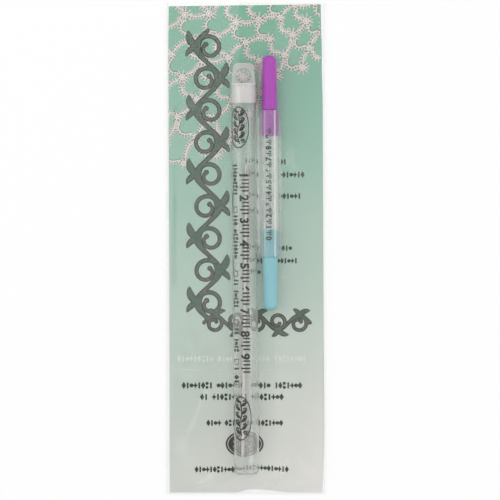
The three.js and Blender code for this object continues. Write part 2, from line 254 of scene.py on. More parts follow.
def arc(centre, radius, start, end, steps=16):
    """Points on an arc, with angles in degrees."""
    return [polar(centre, radius, start + (end - start) * i / steps) for i in range(steps + 1)]


def flowing(knots, steps=10):
    """A smooth line through knots."""
    points = [knots[0]]
    for i in range(len(knots) - 1):
        before = knots[max(i - 1, 0)]
        after = knots[min(i + 2, len(knots) - 1)]
        a, b = knots[i], knots[i + 1]
        span = geometry.interpolate_bezier(a, a + (b - before) / 6, b - (after - a) / 6, b, steps + 1)
        points += span[1:]
    return points


def resampled(path, step):
    """The same line with its points about a step apart."""
    lengths = [0]
    for a, b in zip(path, path[1:]):
        lengths.append(lengths[-1] + (b - a).length)
    points = []
    segment = 0
    for wanted in spaced(0, lengths[-1], step):
        while segment < len(path) - 2 and lengths[segment + 1] < wanted:
            segment += 1
        span = max(1e-9, lengths[segment + 1] - lengths[segment])
        share = min(1, (wanted - lengths[segment]) / span)
        points.append(path[segment].lerp(path[segment + 1], share))
    return points


def rounded(profile, steps=6):
    """A profile of (radius, height, corner radius), with its corners turned into arcs."""
    points = []
    for i, (x, y, corner) in enumerate(profile):
        here = Vector((x, y))
        if corner == 0:
            points.append(here)
            continue
        before = (Vector(profile[i - 1][:2]) - here).normalized()
        after = (Vector(profile[i + 1][:2]) - here).normalized()
        half = before.angle(after) / 2
        centre = here + (before + after).normalized() * corner / math.sin(half)
        start = here + before * corner / math.tan(half) - centre
        end = here + after * corner / math.tan(half) - centre
        turn = math.atan2(start.x * end.y - start.y * end.x, start.dot(end))
        points += [centre + Matrix.Rotation(turn * step / steps, 2) @ start for step in range(steps + 1)]
    return points


# Solids, as lists of 3-D points and faces

def turned(profile, sides):
    """A form turned about +Y; its profile runs from one pole to the other."""
    circle = [2 * math.pi * side / sides for side in range(sides)]
    vertices = [(0, profile[0].y, 0)]
    for point in profile[1:-1]:
        vertices += [(point.x * math.cos(angle), point.y, -point.x * math.sin(angle)) for angle in circle]
    vertices.append((0, profile[-1].y, 0))
    last = len(vertices) - 1 - sides
    faces = []
    for side in range(sides):
        after = (side + 1) % sides
        faces.append((0, 1 + after, 1 + side))
        for a in range(1, last, sides):
            faces.append((a + side, a + after, a + sides + after, a + sides + side))
        faces.append((last + side, last + after, len(vertices) - 1))
    return vertices, faces


def lofted(rings, closed=True, cap=None):
    """A skin through rings of points, closed from the last ring to the first or by a cap at each end.

    A cap is a list of faces within a ring, or else one face."""
    count = len(rings[0])
    vertices = [point for ring in rings for point in ring]
    faces = []
    for i in range(len(rings) if closed else len(rings) - 1):
        a = i * count
        b = (i + 1) % len(rings) * count
        for k in range(count):
            after = (k + 1) % count
            faces.append((a + k, a + after, b + after, b + k))
    if not closed:
        last = len(vertices) - count
        for face in cap or [range(count)]:
            faces.append(tuple(reversed(face)))
            faces.append(tuple(last + i for i in face))
    return vertices, faces


def swept(path, radius, sides):
    """A round wire along a flat path in X and Y."""
    circle = arc((0, 0), radius, 0, 360 - 360 / sides, sides - 1)
    rings = []
    for point, along in zip(path, headings(path)):
        rings.append([(*(point - left_of(along) * p.x), p.y) for p in circle])
    return lofted(rings, closed=False)


# Materials

def srgb(*channels):
    """A colour given as three numbers from 0 to 255, as the shader wants it."""
    shares = [channel / 255 for channel in channels]
    return (*[s / 12.92 if s <= 0.04045 else ((s + 0.055) / 1.055) ** 2.4 for s in shares], 1)


class Nodes:
    """The shader nodes of a material or a world, made by short calls."""

    def __init__(self, owner):
        owner.use_nodes = True
        self.owner = owner
        self.tree = owner.node_tree
        self.tree.nodes.clear()

    def node(self, kind, inputs=None, **settings):
        node = self.tree.nodes.new("ShaderNode" + kind)
        for key, value in settings.items():
            setattr(node, key, value)
        for key, value in (inputs or {}).items():
            if isinstance(value, bpy.types.NodeSocket):
                self.tree.links.new(value, node.inputs[key])
            else:
                node.inputs[key].default_value = value
        return node

    def out(self, kind, inputs=None, output=0, **settings):
        """One output of a new node."""
        return self.node(kind, inputs, **settings).outputs[output]

    def math(self, operation, first, second=0.0):
        return self.out("Math", {0: first, 1: second}, operation=operation)

    def times(self, first, second):
        return self.math("MULTIPLY", first, second)

    def plus(self, first, second):
        return self.math("ADD", first, second)

    def apart(self, first, second):
        """How far apart two values are."""
        return self.math("ABSOLUTE", self.math("SUBTRACT", first, second))

    def between(self, value, low, high, new_low=0.0, new_high=1.0, **settings):
        """A value that goes from a new low to a new high as another goes from low to high."""
        inputs = {"Value": value, 1: low, 2: high, 3: new_low, 4: new_high}
        return self.out("MapRange", inputs, **settings)

    def mix(self, share, first, second):
        return self.out("MixShader", {0: share, 1: first, 2: second})

    def ray(self, kind):
        return self.out("LightPath", output=kind)


class Finish(Nodes):
    """A material's nodes."""

    def __init__(self, name):
        super().__init__(bpy.data.materials.new(name))
        self.place = self.out("TexCoord", output="Object")

    def along(self, axis):
        """Where the shaded point lies along X, Y or Z, in metres."""
        return self.out("SeparateXYZ", {"Vector": self.place}, axis)

    def noise(self, scale, detail=3, share=1, roughness=0.5):
        """Noise with a scale in lumps per metre across the pack, and a share of that along it."""
        place = self.out("Mapping", {"Vector": self.place, "Scale": (1, share, 1)})
        inputs = {"Vector": place, "Scale": scale, "Detail": detail, "Roughness": roughness}
        return self.out("TexNoise", inputs)

    def ramp(self, value, stops):
        """Colours along a value, from stops of (position, colour)."""
        node = self.node("ValToRGB", {"Fac": value})
        elements = node.color_ramp.elements
        while len(elements) < len(stops):
            elements.new(1)
        for element, (position, colour) in zip(elements, stops):
            element.position = position
            element.color = colour
        return node.outputs["Color"]

    def blend(self, share, first, second, mode="MIX"):
        return self.out("Mix", {0: share, 6: first, 7: second}, 2, data_type="RGBA", blend_type=mode)

    def bump(self, height, strength, distance):
        """Surface relief, with its depth in metres."""
        return self.out("Bump", {"Height": height, "Strength": strength, "Distance": distance})

    def diffuse(self, colour, normal):
        return self.out("BsdfDiffuse", {"Color": colour, "Normal": normal})

    def see_through(self, colour):
        return self.out("BsdfTransparent", {"Color": colour})

    def principled(self, **inputs):
        names = {key.replace("_", " "): value for key, value in inputs.items()}
        return self.out("BsdfPrincipled", names)

    def done(self, shader):
        self.node("OutputMaterial", {"Surface": shader})
        return self.owner


def film_whitening(finish):
    """How much painted light the film gets: a painted sheen along the gap between the tube and the threader,
    and painted light over the hang hole, which lies in shade.
    """
    foot, top = barrel_low.y, barrel_high.y
    foot_middle, top_middle = [(tube_edge(y) + barrel_edge(y)) / 2 * MM for y in (foot, top)]
    y = finish.along("Y")
    middle = finish.between(y, foot * MM, top * MM, foot_middle, top_middle)
    off = finish.apart(finish.along("X"), middle)
    # Painted sheen in a narrow band along the middle of the gap, from the threader's foot to its top
    near = finish.between(off, 0.2 * MM, 0.8 * MM, BRIDGE_PAINTED_SHEEN, 0.0)
    above_foot = finish.between(y, (foot - 3) * MM, (foot + 8) * MM)
    below_top = finish.between(y, (top - 2) * MM, (top + 4) * MM, 1.0, 0.0)
    bridge = finish.times(near, finish.times(above_foot, below_top))
    # Painted light over the hang hole
    plug_low, plug_high = box_mm("hang_plug")
    spot = Vector(((plug_low.x + plug_high.x) / 2, plug_high.y - HOLE_BELOW_TAB, 0)) * MM
    flat = finish.out("VectorMath", {0: finish.place, 1: (1, 1, 0)}, operation="MULTIPLY")
    away = finish.out("VectorMath", {0: flat, 1: spot}, "Value", operation="DISTANCE")
    return finish.plus(bridge, finish.between(away, 2.4 * MM, 3.4 * MM, HOLE_PAINTED_LIGHT, 0.0))


def clear_film():
    """Thin clear film: see-through, with fine creases and gloss that grows aslant; its slight milky haze
    also carries painted sheen along pale fold lines, and painted light beside the threader and over the hang
    hole.
    """
    finish = Finish("clear_film")
    long_creases = finish.noise(70, 4, 0.35, 0.55)
    fine_creases = finish.noise(420, 3, 0.8)
    normal = finish.bump(finish.plus(long_creases, finish.times(fine_creases, 0.04)), 0.3, 0.0012)
    facing = finish.out("LayerWeight", {"Blend": 0.5, "Normal": normal}, "Facing")
    gloss_share = finish.plus(finish.times(finish.math("POWER", facing, 3.0), 0.5), 0.018)
    clear = finish.see_through((0.995, 0.997, 0.996, 1))
    haze = finish.diffuse(srgb(240, 240, 238), normal)
    gloss = finish.out("BsdfGlossy", {"Roughness": 0.1, "Normal": normal})
    # Pale fold lines of painted sheen, along thin lines of a noise and kept in patches
    off_line = finish.apart(finish.noise(38, 2, 0.4, 0.45), 0.5)
    line = finish.between(off_line, 0.0, 0.022, 1.0, 0.0)
    kept = finish.between(finish.noise(21, 2), 0.5, 0.62, 0.0, 0.06)
    haze_and_painted_light_share = finish.plus(finish.plus(finish.times(line, kept), 0.01), film_whitening(finish))
    shown = finish.mix(gloss_share, finish.mix(haze_and_painted_light_share, clear, haze), gloss)
    return finish.done(finish.mix(finish.ray("Is Shadow Ray"), shown, clear))


def clear_plastic(name, haze_share, haze_colour, frosting_and_painted_light):
    """Clear moulded plastic: it bends light, with a slight milkiness, flow marks and fine dull scratches.

    A function of the finish gives how much frosting and painted light it gets from place to place: frosting
    at the tube's foot, painted highlights and painted light on the barrel."""
    finish = Finish(name)
    normal = finish.bump(finish.noise(120, 2, 0.05, 0.4), 0.12, 0.00008)
    rough = finish.between(finish.noise(2600, 2, 0.02, 0.6), 0.35, 0.75, 0.06, 0.102)
    glass = finish.principled(Base_Color=(0.985, 0.99, 0.985, 1), Roughness=rough, IOR=1.49,
                              Transmission_Weight=1.0, Normal=normal)
    cloud = finish.between(finish.noise(90, 3, 0.3), 0.3, 0.7, haze_share * 0.8, haze_share * 1.2)
    # Frosting and painted light thicken the haze and whiten its colour towards near white
    frost_and_painted_light = frosting_and_painted_light(finish)
    colour = finish.blend(finish.times(frost_and_painted_light, 3.0), haze_colour, srgb(246, 246, 244))
    hazy = finish.mix(finish.plus(cloud, frost_and_painted_light), glass, finish.diffuse(colour, normal))
    passing = finish.see_through((0.93, 0.94, 0.935, 1))
    return finish.done(finish.mix(finish.ray("Is Shadow Ray"), hazy, passing))


def moulded_plastic(name, colour, dark, light, roughness, subsurface, thin_from=None):
    """Coloured moulded plastic: slight shade changes, a fine satin grain and faint handling marks.

    Past a Y in millimetres where the piece gets thin, its tone is darkened by a painted green-grey shade,
    standing in for light that passes through it instead of coming back out."""
    finish = Finish(name)
    shade = finish.noise(110, 4, 0.4, 0.55)
    tone = finish.ramp(shade, [(0.3, srgb(*dark)), (0.5, srgb(*colour)), (0.72, srgb(*light))])
    if thin_from:
        # Painted shade on the thin part: its tone is multiplied towards green-grey
        thin = finish.between(finish.along("Y"), (thin_from - 0.4) * MM, (thin_from + 0.8) * MM, 0.0, 0.75)
        tone = finish.blend(thin, tone, (0.53, 0.61, 0.57, 1), "MULTIPLY")
    grain = finish.noise(5200, 2)
    marks = finish.noise(900, 3, 0.12, 0.6)
    rough = finish.between(marks, 0.35, 0.7, roughness * 0.85, roughness * 1.2)
    return finish.done(finish.principled(
        Base_Color=tone, Roughness=rough, IOR=1.45, Subsurface_Weight=subsurface, Subsurface_Scale=0.002,
        Normal=finish.bump(finish.plus(grain, finish.times(marks, 0.8)), 0.2, 0.00004)))


def metal(name, colour, dark, roughness, grain, metallic=1.0):
    """Drawn and polished metal: fine lengthwise lines and faint dull spots."""
    finish = Finish(name)
    lines = finish.noise(grain, 3, 0.03, 0.6)
    spots = finish.noise(700)
    mean = finish.times(finish.plus(lines, spots), 0.5)
    tone = finish.ramp(mean, [(0.35, srgb(*dark)), (0.6, srgb(*colour))])
    rough = finish.between(spots, 0.35, 0.7, roughness * 0.8, roughness * 1.4)
    return finish.done(finish.principled(
        Base_Color=tone, Metallic=metallic, Roughness=rough, Normal=finish.bump(lines, 0.25, 0.00003)))


def ink(name, colour, second, scale=500, roughness=0.5):
    """Printing ink, a little uneven where it took on the surface."""
    finish = Finish(name)
    tone = finish.ramp(finish.noise(scale), [(0.38, srgb(*colour)), (0.66, srgb(*second))])
    normal = finish.bump(finish.noise(scale * 2, 2), 0.3, 0.00002)
    return finish.done(finish.principled(
        Base_Color=tone, Roughness=roughness, Specular_IOR_Level=0.2, Normal=normal))


def leaflet_gradient(finish):
    """How far a point lies through the leaflet's tint, from 0 at the top to near 1 at the lower right."""
    drift = finish.times(finish.math("SUBTRACT", finish.noise(22), 0.5), 0.03)
    down = finish.between(finish.plus(finish.along("Y"), drift), leaflet_high.y * MM, leaflet_low.y * MM)
    across = finish.times(finish.along("X"), TINT_TILT / (leaflet_high.x * MM))
    lean = finish.times(across, finish.math("SUBTRACT", down, TINT_LEVEL))
    return finish.math("DIVIDE", finish.plus(down, lean), 1.1)


def printed_cover():
    """The leaflet's front: coated paper with a tint that runs from mint green to warm grey."""
    finish = Finish("printed_cover")
    tint = finish.ramp(leaflet_gradient(finish), [(position, srgb(*colour)) for position, colour in (
        (0.0, (106, 168, 141)), (0.17, (121, 174, 152)), (0.28, (140, 181, 163)),
        (0.55, (174, 193, 180)), (0.82, (205, 207, 200)), (1.0, (223, 220, 216)))])
    blotch = finish.between(finish.noise(34, 4, 0.55, 0.55), 0.4, 0.75, 0.0, 0.35)
    mottled = finish.blend(blotch, tint, srgb(120, 170, 146))
    faded = finish.blend(finish.between(leaflet_gradient(finish), 0.15, 0.6, 0.55, 0.0), tint, mottled)
    speck = finish.between(finish.noise(2400, 2), 0.3, 0.7, 0.0, 0.07)
    toned = finish.blend(speck, faded, srgb(230, 235, 228))
    fibre = finish.noise(1500, 4, 0.6, 0.6)
    relief = finish.plus(finish.times(fibre, 0.02), finish.noise(45, 2))
    return finish.done(finish.principled(
        Base_Color=toned, Roughness=0.5, IOR=1.45, Normal=finish.bump(relief, 0.25, 0.001)))


def bare_paper():
    """The leaflet's unprinted paper, at its edges, folds and back."""
    finish = Finish("bare_paper")
    fibre = finish.noise(1700, 4, 0.6, 0.6)
    tone = finish.ramp(fibre, [(0.3, srgb(222, 222, 214)), (0.7, srgb(238, 238, 232))])
    return finish.done(finish.principled(
        Base_Color=tone, Roughness=0.65, IOR=1.45, Normal=finish.bump(fibre, 0.3, 0.00005)))


# Flat prints, gathered as shapes in the plane of the surface that carries them

PRINT_LIFT = 0.02


class Print:
    """Flat printed shapes in one ink."""

    def __init__(self):
        self.points = []
        self.faces = []

    def polygon(self, outline):
        first = len(self.points)
        self.points += outline
        self.faces.append(range(first, len(self.points)))

    def stroke(self, path, width):
        """A band along a path; its width is a number, or a function of how far along it is, 0 to 1."""
        first = len(self.points)
        last = len(path) - 1
        for i, (point, along) in enumerate(zip(path, headings(path))):
            side = left_of(along) * (width(i / last) if callable(width) else width) / 2
            self.points += [point + side, point - side]
        self.faces += [(a, a + 1, a + 3, a + 2) for a in range(first, first + 2 * last, 2)]

    def disc(self, centre, radius, steps=18):
        self.polygon(arc(centre, radius, 0, 360 - 360 / steps, steps - 1))

    def figure(self, number, centre, height, turn, boldness):
        """A plain figure, turned by an angle in degrees and swelled by a boldness in millimetres."""
        font = bpy.data.curves.new("figure", "FONT")
        font.body = str(number)
        font.size = height * 1.4
        font.align_x = "CENTER"
        font.align_y = "CENTER"
        font.offset = boldness
        writer = placed("figure", font)
        mesh = worked_out(writer)
        first = len(self.points)
        rotation = Matrix.Rotation(math.radians(turn), 2)
        self.points += [Vector(centre) + rotation @ v.co.xy for v in mesh.vertices]
        self.faces += [[first + i for i in polygon.vertices] for polygon in mesh.polygons]
        bpy.data.objects.remove(writer)
        bpy.data.meshes.remove(mesh)


def laid_print(name, shapes, place, material, body, window=(), slices=()):
    """A print as a piece: cut to a window of (left, right, low, high) and laid on its surface.

    Slices are places across it where its faces are split, so that they bend with the surface."""
    flat = bmesh.new()
    corners = [flat.verts.new((p.x, p.y, 0)) for p in shapes.points]
    for face in shapes.faces:
        flat.faces.new([corners[i] for i in face])
    cuts = [((x, 0, 0), (1, 0, 0), False) for x in slices]
    for edge, out in zip(window, ((-1, 0, 0), (1, 0, 0), (0, -1, 0), (0, 1, 0))):
        cuts.append(([edge * abs(part) for part in out], out, True))
    for point, direction, clear in cuts:
        everything = flat.verts[:] + flat.edges[:] + flat.faces[:]
        bmesh.ops.bisect_plane(flat, geom=everything, plane_co=point, plane_no=direction, clear_outer=clear)
    for vertex in flat.verts:
        vertex.co = place(vertex.co.x, vertex.co.y) * MM
    mesh = bpy.data.meshes.new(name)
    flat.to_mesh(mesh)
    flat.free()
    finish_piece(placed(name, mesh), [material], body)


# The leaflet

leaflet_low, leaflet_high = box_mm("leaflet")
leaflet_length = leaflet_high.y - leaflet_low.y
fold_pitch = (leaflet_high.z - leaflet_low.z - PAPER) / (FOLD_PANELS - 1)


def paper_at(x, y, z):
    """Where a point of the flat folded leaflet really lies: out of square, with a bowed lower edge."""
    share = (y - leaflet_low.y) / leaflet_length
    skew = LEAFLET_SKEW * (1 - 2 * share)
    slant = (LEAFLET_TOP_SLANT * x / leaflet_high.x - LEAFLET_TOP_DROP) * smooth_step(share, 0.4, 1)
    rise = smooth_step(x, LOWER_EDGE_LEFT_FOOT, LOWER_EDGE_PEAK)
    fall = smooth_step(-x, -LOWER_EDGE_RIGHT_FOOT, -LOWER_EDGE_PEAK)
    near_foot = 1 - smooth_step(y, leaflet_low.y, leaflet_low.y + BOW_REACH)
    bow = LOWER_EDGE_BOW * min(rise, fall) * near_foot
    wave = 0.03 * math.sin(x / 9 + y / 31) + 0.03 * math.sin(y / 17 - x / 23)
    bulge = RIGHT_EDGE_BULGE * smooth_step(share, 0.03, 0.12) * (1 - smooth_step(share, 0.15, 0.55))
    upper_bulge = UPPER_RIGHT_BULGE * smooth_step(share, 0.25, 0.55) * (1 - smooth_step(share, 0.78, 0.88))
    pull = RIGHT_CORNER_PULL * (1 - smooth_step(share, 0, 0.05) + smooth_step(share, 0.9, 0.985))
    right = (bulge + upper_bulge - pull) * smooth_step(x, 8, leaflet_high.x)
    left = LEFT_EDGE_BULGE * smooth_step(-x, 8, leaflet_high.x) * (1 - smooth_step(share, 0.93, 1))
    return Vector((x + skew + right - left, y + slant + bow, z + wave))


def fold_bend(x, from_level, to_level, side):
    """Half a turn of the folded sheet from one panel's level to another's."""
    middle = (from_level + to_level) / 2 * fold_pitch
    start = -90 if to_level > from_level else 90
    bend = arc((0, 0), abs(to_level - from_level) / 2 * fold_pitch, start, -start, 8)
    return [Vector((x + side * p.x, middle + p.y)) for p in bend]


def folded_line():
    """The sheet's middle line across the pack: the lowest panel turns up round the others."""
    edge = leaflet_high.x - PAPER / 2
    last = FOLD_PANELS - 1
    right = edge - last / 2 * fold_pitch
    left = fold_pitch - edge
    bends = [
        *fold_bend(right, 0, last, 1),
        *fold_bend(left - fold_pitch / 2, last, last - 1, -1),
        *fold_bend(right, last - 1, 1, 1),
    ]
    return resampled([Vector((left, 0)), *bends, Vector((left, fold_pitch))], 0.12)


def thinned(line, straight=2.4):
    """Drops points on the straight stretches, where a point every few millimetres is enough."""
    kept = [line[0]]
    for i in range(1, len(line) - 1):
        turn = (line[i] - line[i - 1]).angle(line[i + 1] - line[i])
        if turn > 0.02 or (line[i] - kept[-1]).length >= straight:
            kept.append(line[i])
    return [*kept, line[-1]]


def leaflet():
    """The folded sheet, swept from its lower edge to its upper one, with its upper panel printed."""
    line = thinned(folded_line())
    sides = [left_of(along) * PAPER / 2 for along in headings(line)]
    lower = [point - side for point, side in zip(line, sides)]
    outline = [*[point + side for point, side in zip(line, sides)], *reversed(lower)]
    count = len(outline)
    base = leaflet_low.z + PAPER / 2
    stations = [
        *spaced(leaflet_low.y, leaflet_low.y + BOW_REACH, 1.1),
        *spaced(leaflet_low.y + BOW_REACH, leaflet_high.y, 3.5)[1:],
    ]
    rings = [[paper_at(p.x, y, base + p.y) for p in outline] for y in stations]
    cap = [(i, i + 1, count - 2 - i, count - 1 - i) for i in range(len(line) - 1)]
    piece = mesh_object("folded_leaflet", *lofted(rings, closed=False, cap=cap))
    finish_piece(piece, [bare_paper(), printed_cover()], "leaflet_sheet", ["leaflet"], 30)
    cover = (FOLD_PANELS - 1) * fold_pitch + PAPER * 0.3
    fold_radius = (FOLD_PANELS - 1) / 2 * fold_pitch
    fold_centre = Vector((leaflet_high.x - PAPER / 2 - fold_radius, fold_radius))

    def printed(start, end):
        """On top of the upper panel, or outside on the upper half of the fold to its right."""
        middle = (start + end) / 2
        round_fold = middle.x > fold_centre.x and middle.y > fold_centre.y
        return min(start.y, end.y) > cover or (round_fold and (middle - fold_centre).length > fold_radius)

    for number, polygon in enumerate(piece.data.polygons[:count * (len(rings) - 1)]):
        if printed(outline[number % count], outline[(number + 1) % count]):
            polygon.material_index = 1


# The lace printed on the leaflet

THREAD = 0.58
THREAD_SHADE = 0.8
KNOT = 0.95
PICOT_THREAD = 0.25
PICOT_SHADE = 0.34
PICOT_LOOP = ((0, -0.5), (0.45, -1), (0.85, -0.8), (1, 0), (0.85, 0.8), (0.45, 1), (0, 0.5))
KNOT_SWELL = 0.24
LACE_CENTRE = Vector((48.5, 120.5))
LACE_ROUNDS = 13
LACE_SIDE = 42
LACE_TOP = 116
# A flower's ring radius and the length of its picots
LARGE_FLOWER = (1.15, 2.0)
SMALL_FLOWER = (0.95, 1.3)


class Lace:
    """Pale threads over a wider, duller shade along the same course."""

    def __init__(self):
        self.thread = Print()
        self.shade = Print()

    def knotted(self, path):
        """A thread of knots, whose edges swell at each one."""
        line = resampled(path, KNOT / 4)
        knots = (len(line) - 1) / 4
        self.thread.stroke(line, lambda t: THREAD * (1 + KNOT_SWELL * math.cos(2 * math.pi * t * knots)))
        self.shade.stroke(line[::2] if len(line) % 2 else line, THREAD + THREAD_SHADE)

    def picots(self, path, side, spacing=1.1, length=1.25, skip=1):
        """Small loops of bare thread on one side of a path: 1 for its left and -1 for its right."""
        line = resampled(path, spacing)
        for point, along in list(zip(line, headings(line)))[skip:len(line) - skip]:
            outward = left_of(along) * side
            root = point + outward * THREAD * 0.35
            tip = outward * length * (0.8 + 0.4 * random.random())
            half = left_of(outward) * 0.17
            self.thread.stroke([root + tip * a + half * b for a, b in PICOT_LOOP], PICOT_THREAD)
            self.shade.stroke([root, root + tip * 0.9], 2 * PICOT_THREAD + PICOT_SHADE)

    def flower(self, centre, radius, picot_length):
        """A small ring with long picots all round it."""
        ring = arc(centre, radius, 0, 360, 36)
        self.knotted(ring)
        self.thread.disc(centre, radius - THREAD * 0.75)
        self.picots(ring, -1, 0.8, picot_length, 0)

    def chain(self, start, end, bow, both_sides=True):
        """A bowed thread from one flower's rim to another's, with picots on its outer side or on both."""
        run = (end - start).normalized()
        side = left_of(run) * bow
        near = start + run * 2.0
        far = end - run * 2.0
        shares = ((0, 0), (0.25, 0.8), (0.5, 1), (0.75, 0.8), (1, 0))
        path = flowing([near.lerp(far, a) + side * b for a, b in shares], 8)
        self.knotted(path)
        outer = 1 if bow > 0 else -1
        self.picots(path, outer)
        if both_sides:
            self.picots(path, -outer, 1.0, 0.95)


def lace_limit(x):
    """How far down the leaflet the lace reaches, at a place across it."""
    dip = 12 * math.exp(-((x - 5) / 5) ** 2)
    return 37 + 34 * smooth_step(x, -17, 12) + 14 * smooth_step(x, 26, 36) + 3 * math.sin(x / 3) - dip


def lace_round(number):
    """A round's radius and the angles of its flowers; rounds lie further apart towards the outside."""
    radius = 6.2 * number + 0.26 * number ** 2
    pitch = 7.0 + 0.45 * number
    count = max(6, round(2 * math.pi * radius / pitch))
    return radius, [360 * (i + 0.5 * (number % 2)) / count for i in range(count)]


def laid_lace():
    """Rounds of picot flowers joined by chains, about a centre beyond the leaflet's upper right corner."""
    lace = Lace()

    def printed(place):
        return abs(place.x) < LACE_SIDE and lace_limit(place.x) < place.y < LACE_TOP

    for number in range(1, LACE_ROUNDS + 1):
        radius, angles = lace_round(number)
        outer_radius, outer_angles = lace_round(number + 1)
        step = angles[1] - angles[0]
        for i, angle in enumerate(angles):
            here = polar(LACE_CENTRE, radius, angle)
            if not printed(here):
                continue
            lace.flower(here, *(LARGE_FLOWER if (i + number) % 3 == 2 else SMALL_FLOWER))
            after = polar(LACE_CENTRE, radius, angle + step)
            if printed(after):
                lace.chain(here, after, -0.3 * (after - here).length, i % 2 == 0)
            nearest = min(outer_angles, key=lambda other: abs((other - angle + 180) % 360 - 180))
            outer = polar(LACE_CENTRE, outer_radius, nearest)
            if printed(outer):
                lace.chain(here, outer, 1.0 if i % 2 else -1.0)
    # A lone strand that hangs between the tube and the threader
    lace.chain(Vector((5.4, 84.5)), Vector((5.9, 68.0)), 1.0)
    return lace


# The leaflet's ornament, in the place of its headings and lines of print

COVER_WINDOW = (-33.75, 33.55, leaflet_low.y, leaflet_high.y)
ORNAMENT_OUTLINE = 0.45
ORNAMENT_BAND = 0.28
ROSETTE_CENTRE = Vector((-0.8, -86.35))
ROSETTE_HALF = Vector((8.4, 5.9))


class Ornament:
    """Bold printed shapes: a filled stroke inside a greyish band and a dark outline."""

    def __init__(self):
        self.outline = Print()
        self.band = Print()
        self.fill = Print()

    def layers(self):
        """Each print and how far it reaches past the filled shape."""
        yield self.outline, ORNAMENT_OUTLINE + ORNAMENT_BAND
        yield self.band, ORNAMENT_BAND
        yield self.fill, 0

    def stroke(self, path, width):
        """A stroke with round ends; its width is a function of how far along it is."""
        for shapes, margin in self.layers():
            shapes.stroke(path, lambda t, more=2 * margin: width(t) + more)
            for end, t in ((path[0], 0), (path[-1], 1)):
                if width(t) / 2 + margin > 0.05:
                    shapes.disc(end, width(t) / 2 + margin)

    def leaf(self, root, run, width, bend):
        """A pointed leaf that bends to the left of its run."""
        side = left_of(run) * bend
        path = flowing([root + run * a + side * b for a, b in ((0, 0), (0.35, 1), (0.7, 0.9), (1, 0))], 8)
        for shapes, margin in self.layers():
            shapes.stroke(path, lambda t, more=2 * margin:
                          (width + more) * math.sin(math.pi * (0.12 + 0.88 * t)) ** 0.8 + 0.02)

    def bud(self, centre, radius):
        for shapes, margin in self.layers():
            shapes.disc(centre, radius + margin, 24)

    def vine(self, start, end, bays, swing, thick, thin):
        """A scrolling vine: each bay of its wavy stem holds a spiral, and leaves grow on its outer side."""
        along = (end - start) / bays
        bay = along.length
        across = -left_of(along) / bay

        for number in range(bays):
            side = across if number % 2 else -across
            foot = start + along * number
            stem = [foot + along * i / 20 + side * swing * math.sin(math.pi * i / 20) for i in range(21)]
            self.stroke(stem, lambda t: thin + (thick - thin) * math.sin(math.pi * t) ** 2)
            centre = foot + along * 0.47 - side * swing * 0.16
            spiral = []
            for i in range(41):
                turn = math.radians(32 + 375 * i / 40)
                radius = 0.385 * (1 - 0.62 * (i / 40) ** 1.2)
                spiral.append(centre + (along * math.sin(turn) + side * bay * math.cos(turn)) * radius)
            self.stroke(spiral, lambda t: thin * (1.1 - 0.7 * t))
            self.bud(spiral[-1], thin * 0.75)
            root = foot + along * 0.5 + side * swing
            bend = 0.14 if number % 2 else -0.14
            self.leaf(root, along * 0.52 + side * bay * 0.26, thick * 0.95, -bend)
            self.leaf(root, along * -0.3 + side * bay * 0.34, thick * 0.6, bend)


STITCHED_MOTIFS = ("lozenge", "bar", "dot", "star", "bar", "lozenge", "bead", "bar", "star", "dot")
MOTIF_CORNERS = {
    "lozenge": [(0, 1), (-0.62, 0), (0, -1), (0.62, 0)],
    "bar": [(-0.24, -0.82), (0.24, -0.82), (0.24, 0.82), (-0.24, 0.82)],
    "star": [Vector((0.75, 1)) * polar((0, 0), 0.42 if i % 2 else 1.0, 45 * i) for i in range(8)],
}
MOTIF_DISCS = {
    "dot": [(0, 0.56, 14)],
    "bead": [(-0.55, 0.44, 12), (0.55, 0.44, 12)],
}


def motif_row(shapes, start, end, height, gaps=(), pitch=0.54, kinds=STITCHED_MOTIFS):
    """A line of small motifs the size of a line of small print; gaps are shares left bare."""
    run = end - start
    half = run.normalized() * height / 2
    up = left_of(half)
    for number, distance in enumerate(spaced(0, run.length, height * pitch)):
        share = distance / run.length
        if any(low < share < high for low, high in gaps):
            continue
        centre = start + run * share
        kind = kinds[number % len(kinds)]
        if kind in MOTIF_CORNERS:
            shapes.polygon([centre + half * a + up * b for a, b in MOTIF_CORNERS[kind]])
        for rise, radius, steps in MOTIF_DISCS.get(kind, ()):
            shapes.disc(centre + up * rise, half.length * radius, steps)


def level_row(shapes, left, right, level, height, *gaps):
    motif_row(shapes, Vector((left, level)), Vector((right, level)), height, gaps)


def small_print():
    """The dark lines of small motifs on the leaflet."""
    shapes = Print()
    level_row(shapes, -27.5, 23.5, -60.4, 3.2, (0.24, 0.3), (0.52, 0.58), (0.74, 0.78))
    level_row(shapes, -19.5, 15.5, -65.5, 3.2, (0.05, 0.11), (0.56, 0.63))
    level_row(shapes, -16.8, 15.3, -77.0, 3.0, (0.16, 0.23), (0.6, 0.67))
    level_row(shapes, -22.0, 17.8, -97.6, 3.0, (0.2, 0.24), (0.8, 0.84))
    for left, right, level, height in (
            (0.5, 17.4, 38.6, 2.8), (0.5, 25, 32.9, 3.0), (0.5, 23.6, 23.4, 3.0), (0.5, 14.4, 16.6, 2.8),
            (0.8, 19.6, 0.4, 2.8), (0.8, 22, -5.2, 2.8), (2.8, 13.4, -10.2, 2.8)):
        level_row(shapes, left, right, level, height, (0.42, 0.49))
    return shapes


def pale_print():
    """A pale row of motifs and a fine pale zigzag rule under the smaller vine."""
    shapes = Print()
    left, right, level, rule = -29.5, 25.5, -48.6, -53.5
    level_row(shapes, left, right, level, 3.3, (0.27, 0.31), (0.47, 0.58), (0.72, 0.75))
    for start, end in ((left, -9), (8.5, right - 1)):
        for number, x in enumerate(spaced(start, end, 0.62)):
            rise = 0.3 if number % 2 else -0.3
            shapes.stroke([Vector((x, rule - rise)), Vector((x + 0.62, rule + rise))], 0.3)
    return shapes


def oval(centre, half, steps=48):
    return [centre + half * point for point in arc((0, 0), 1, 0, 360, steps)]


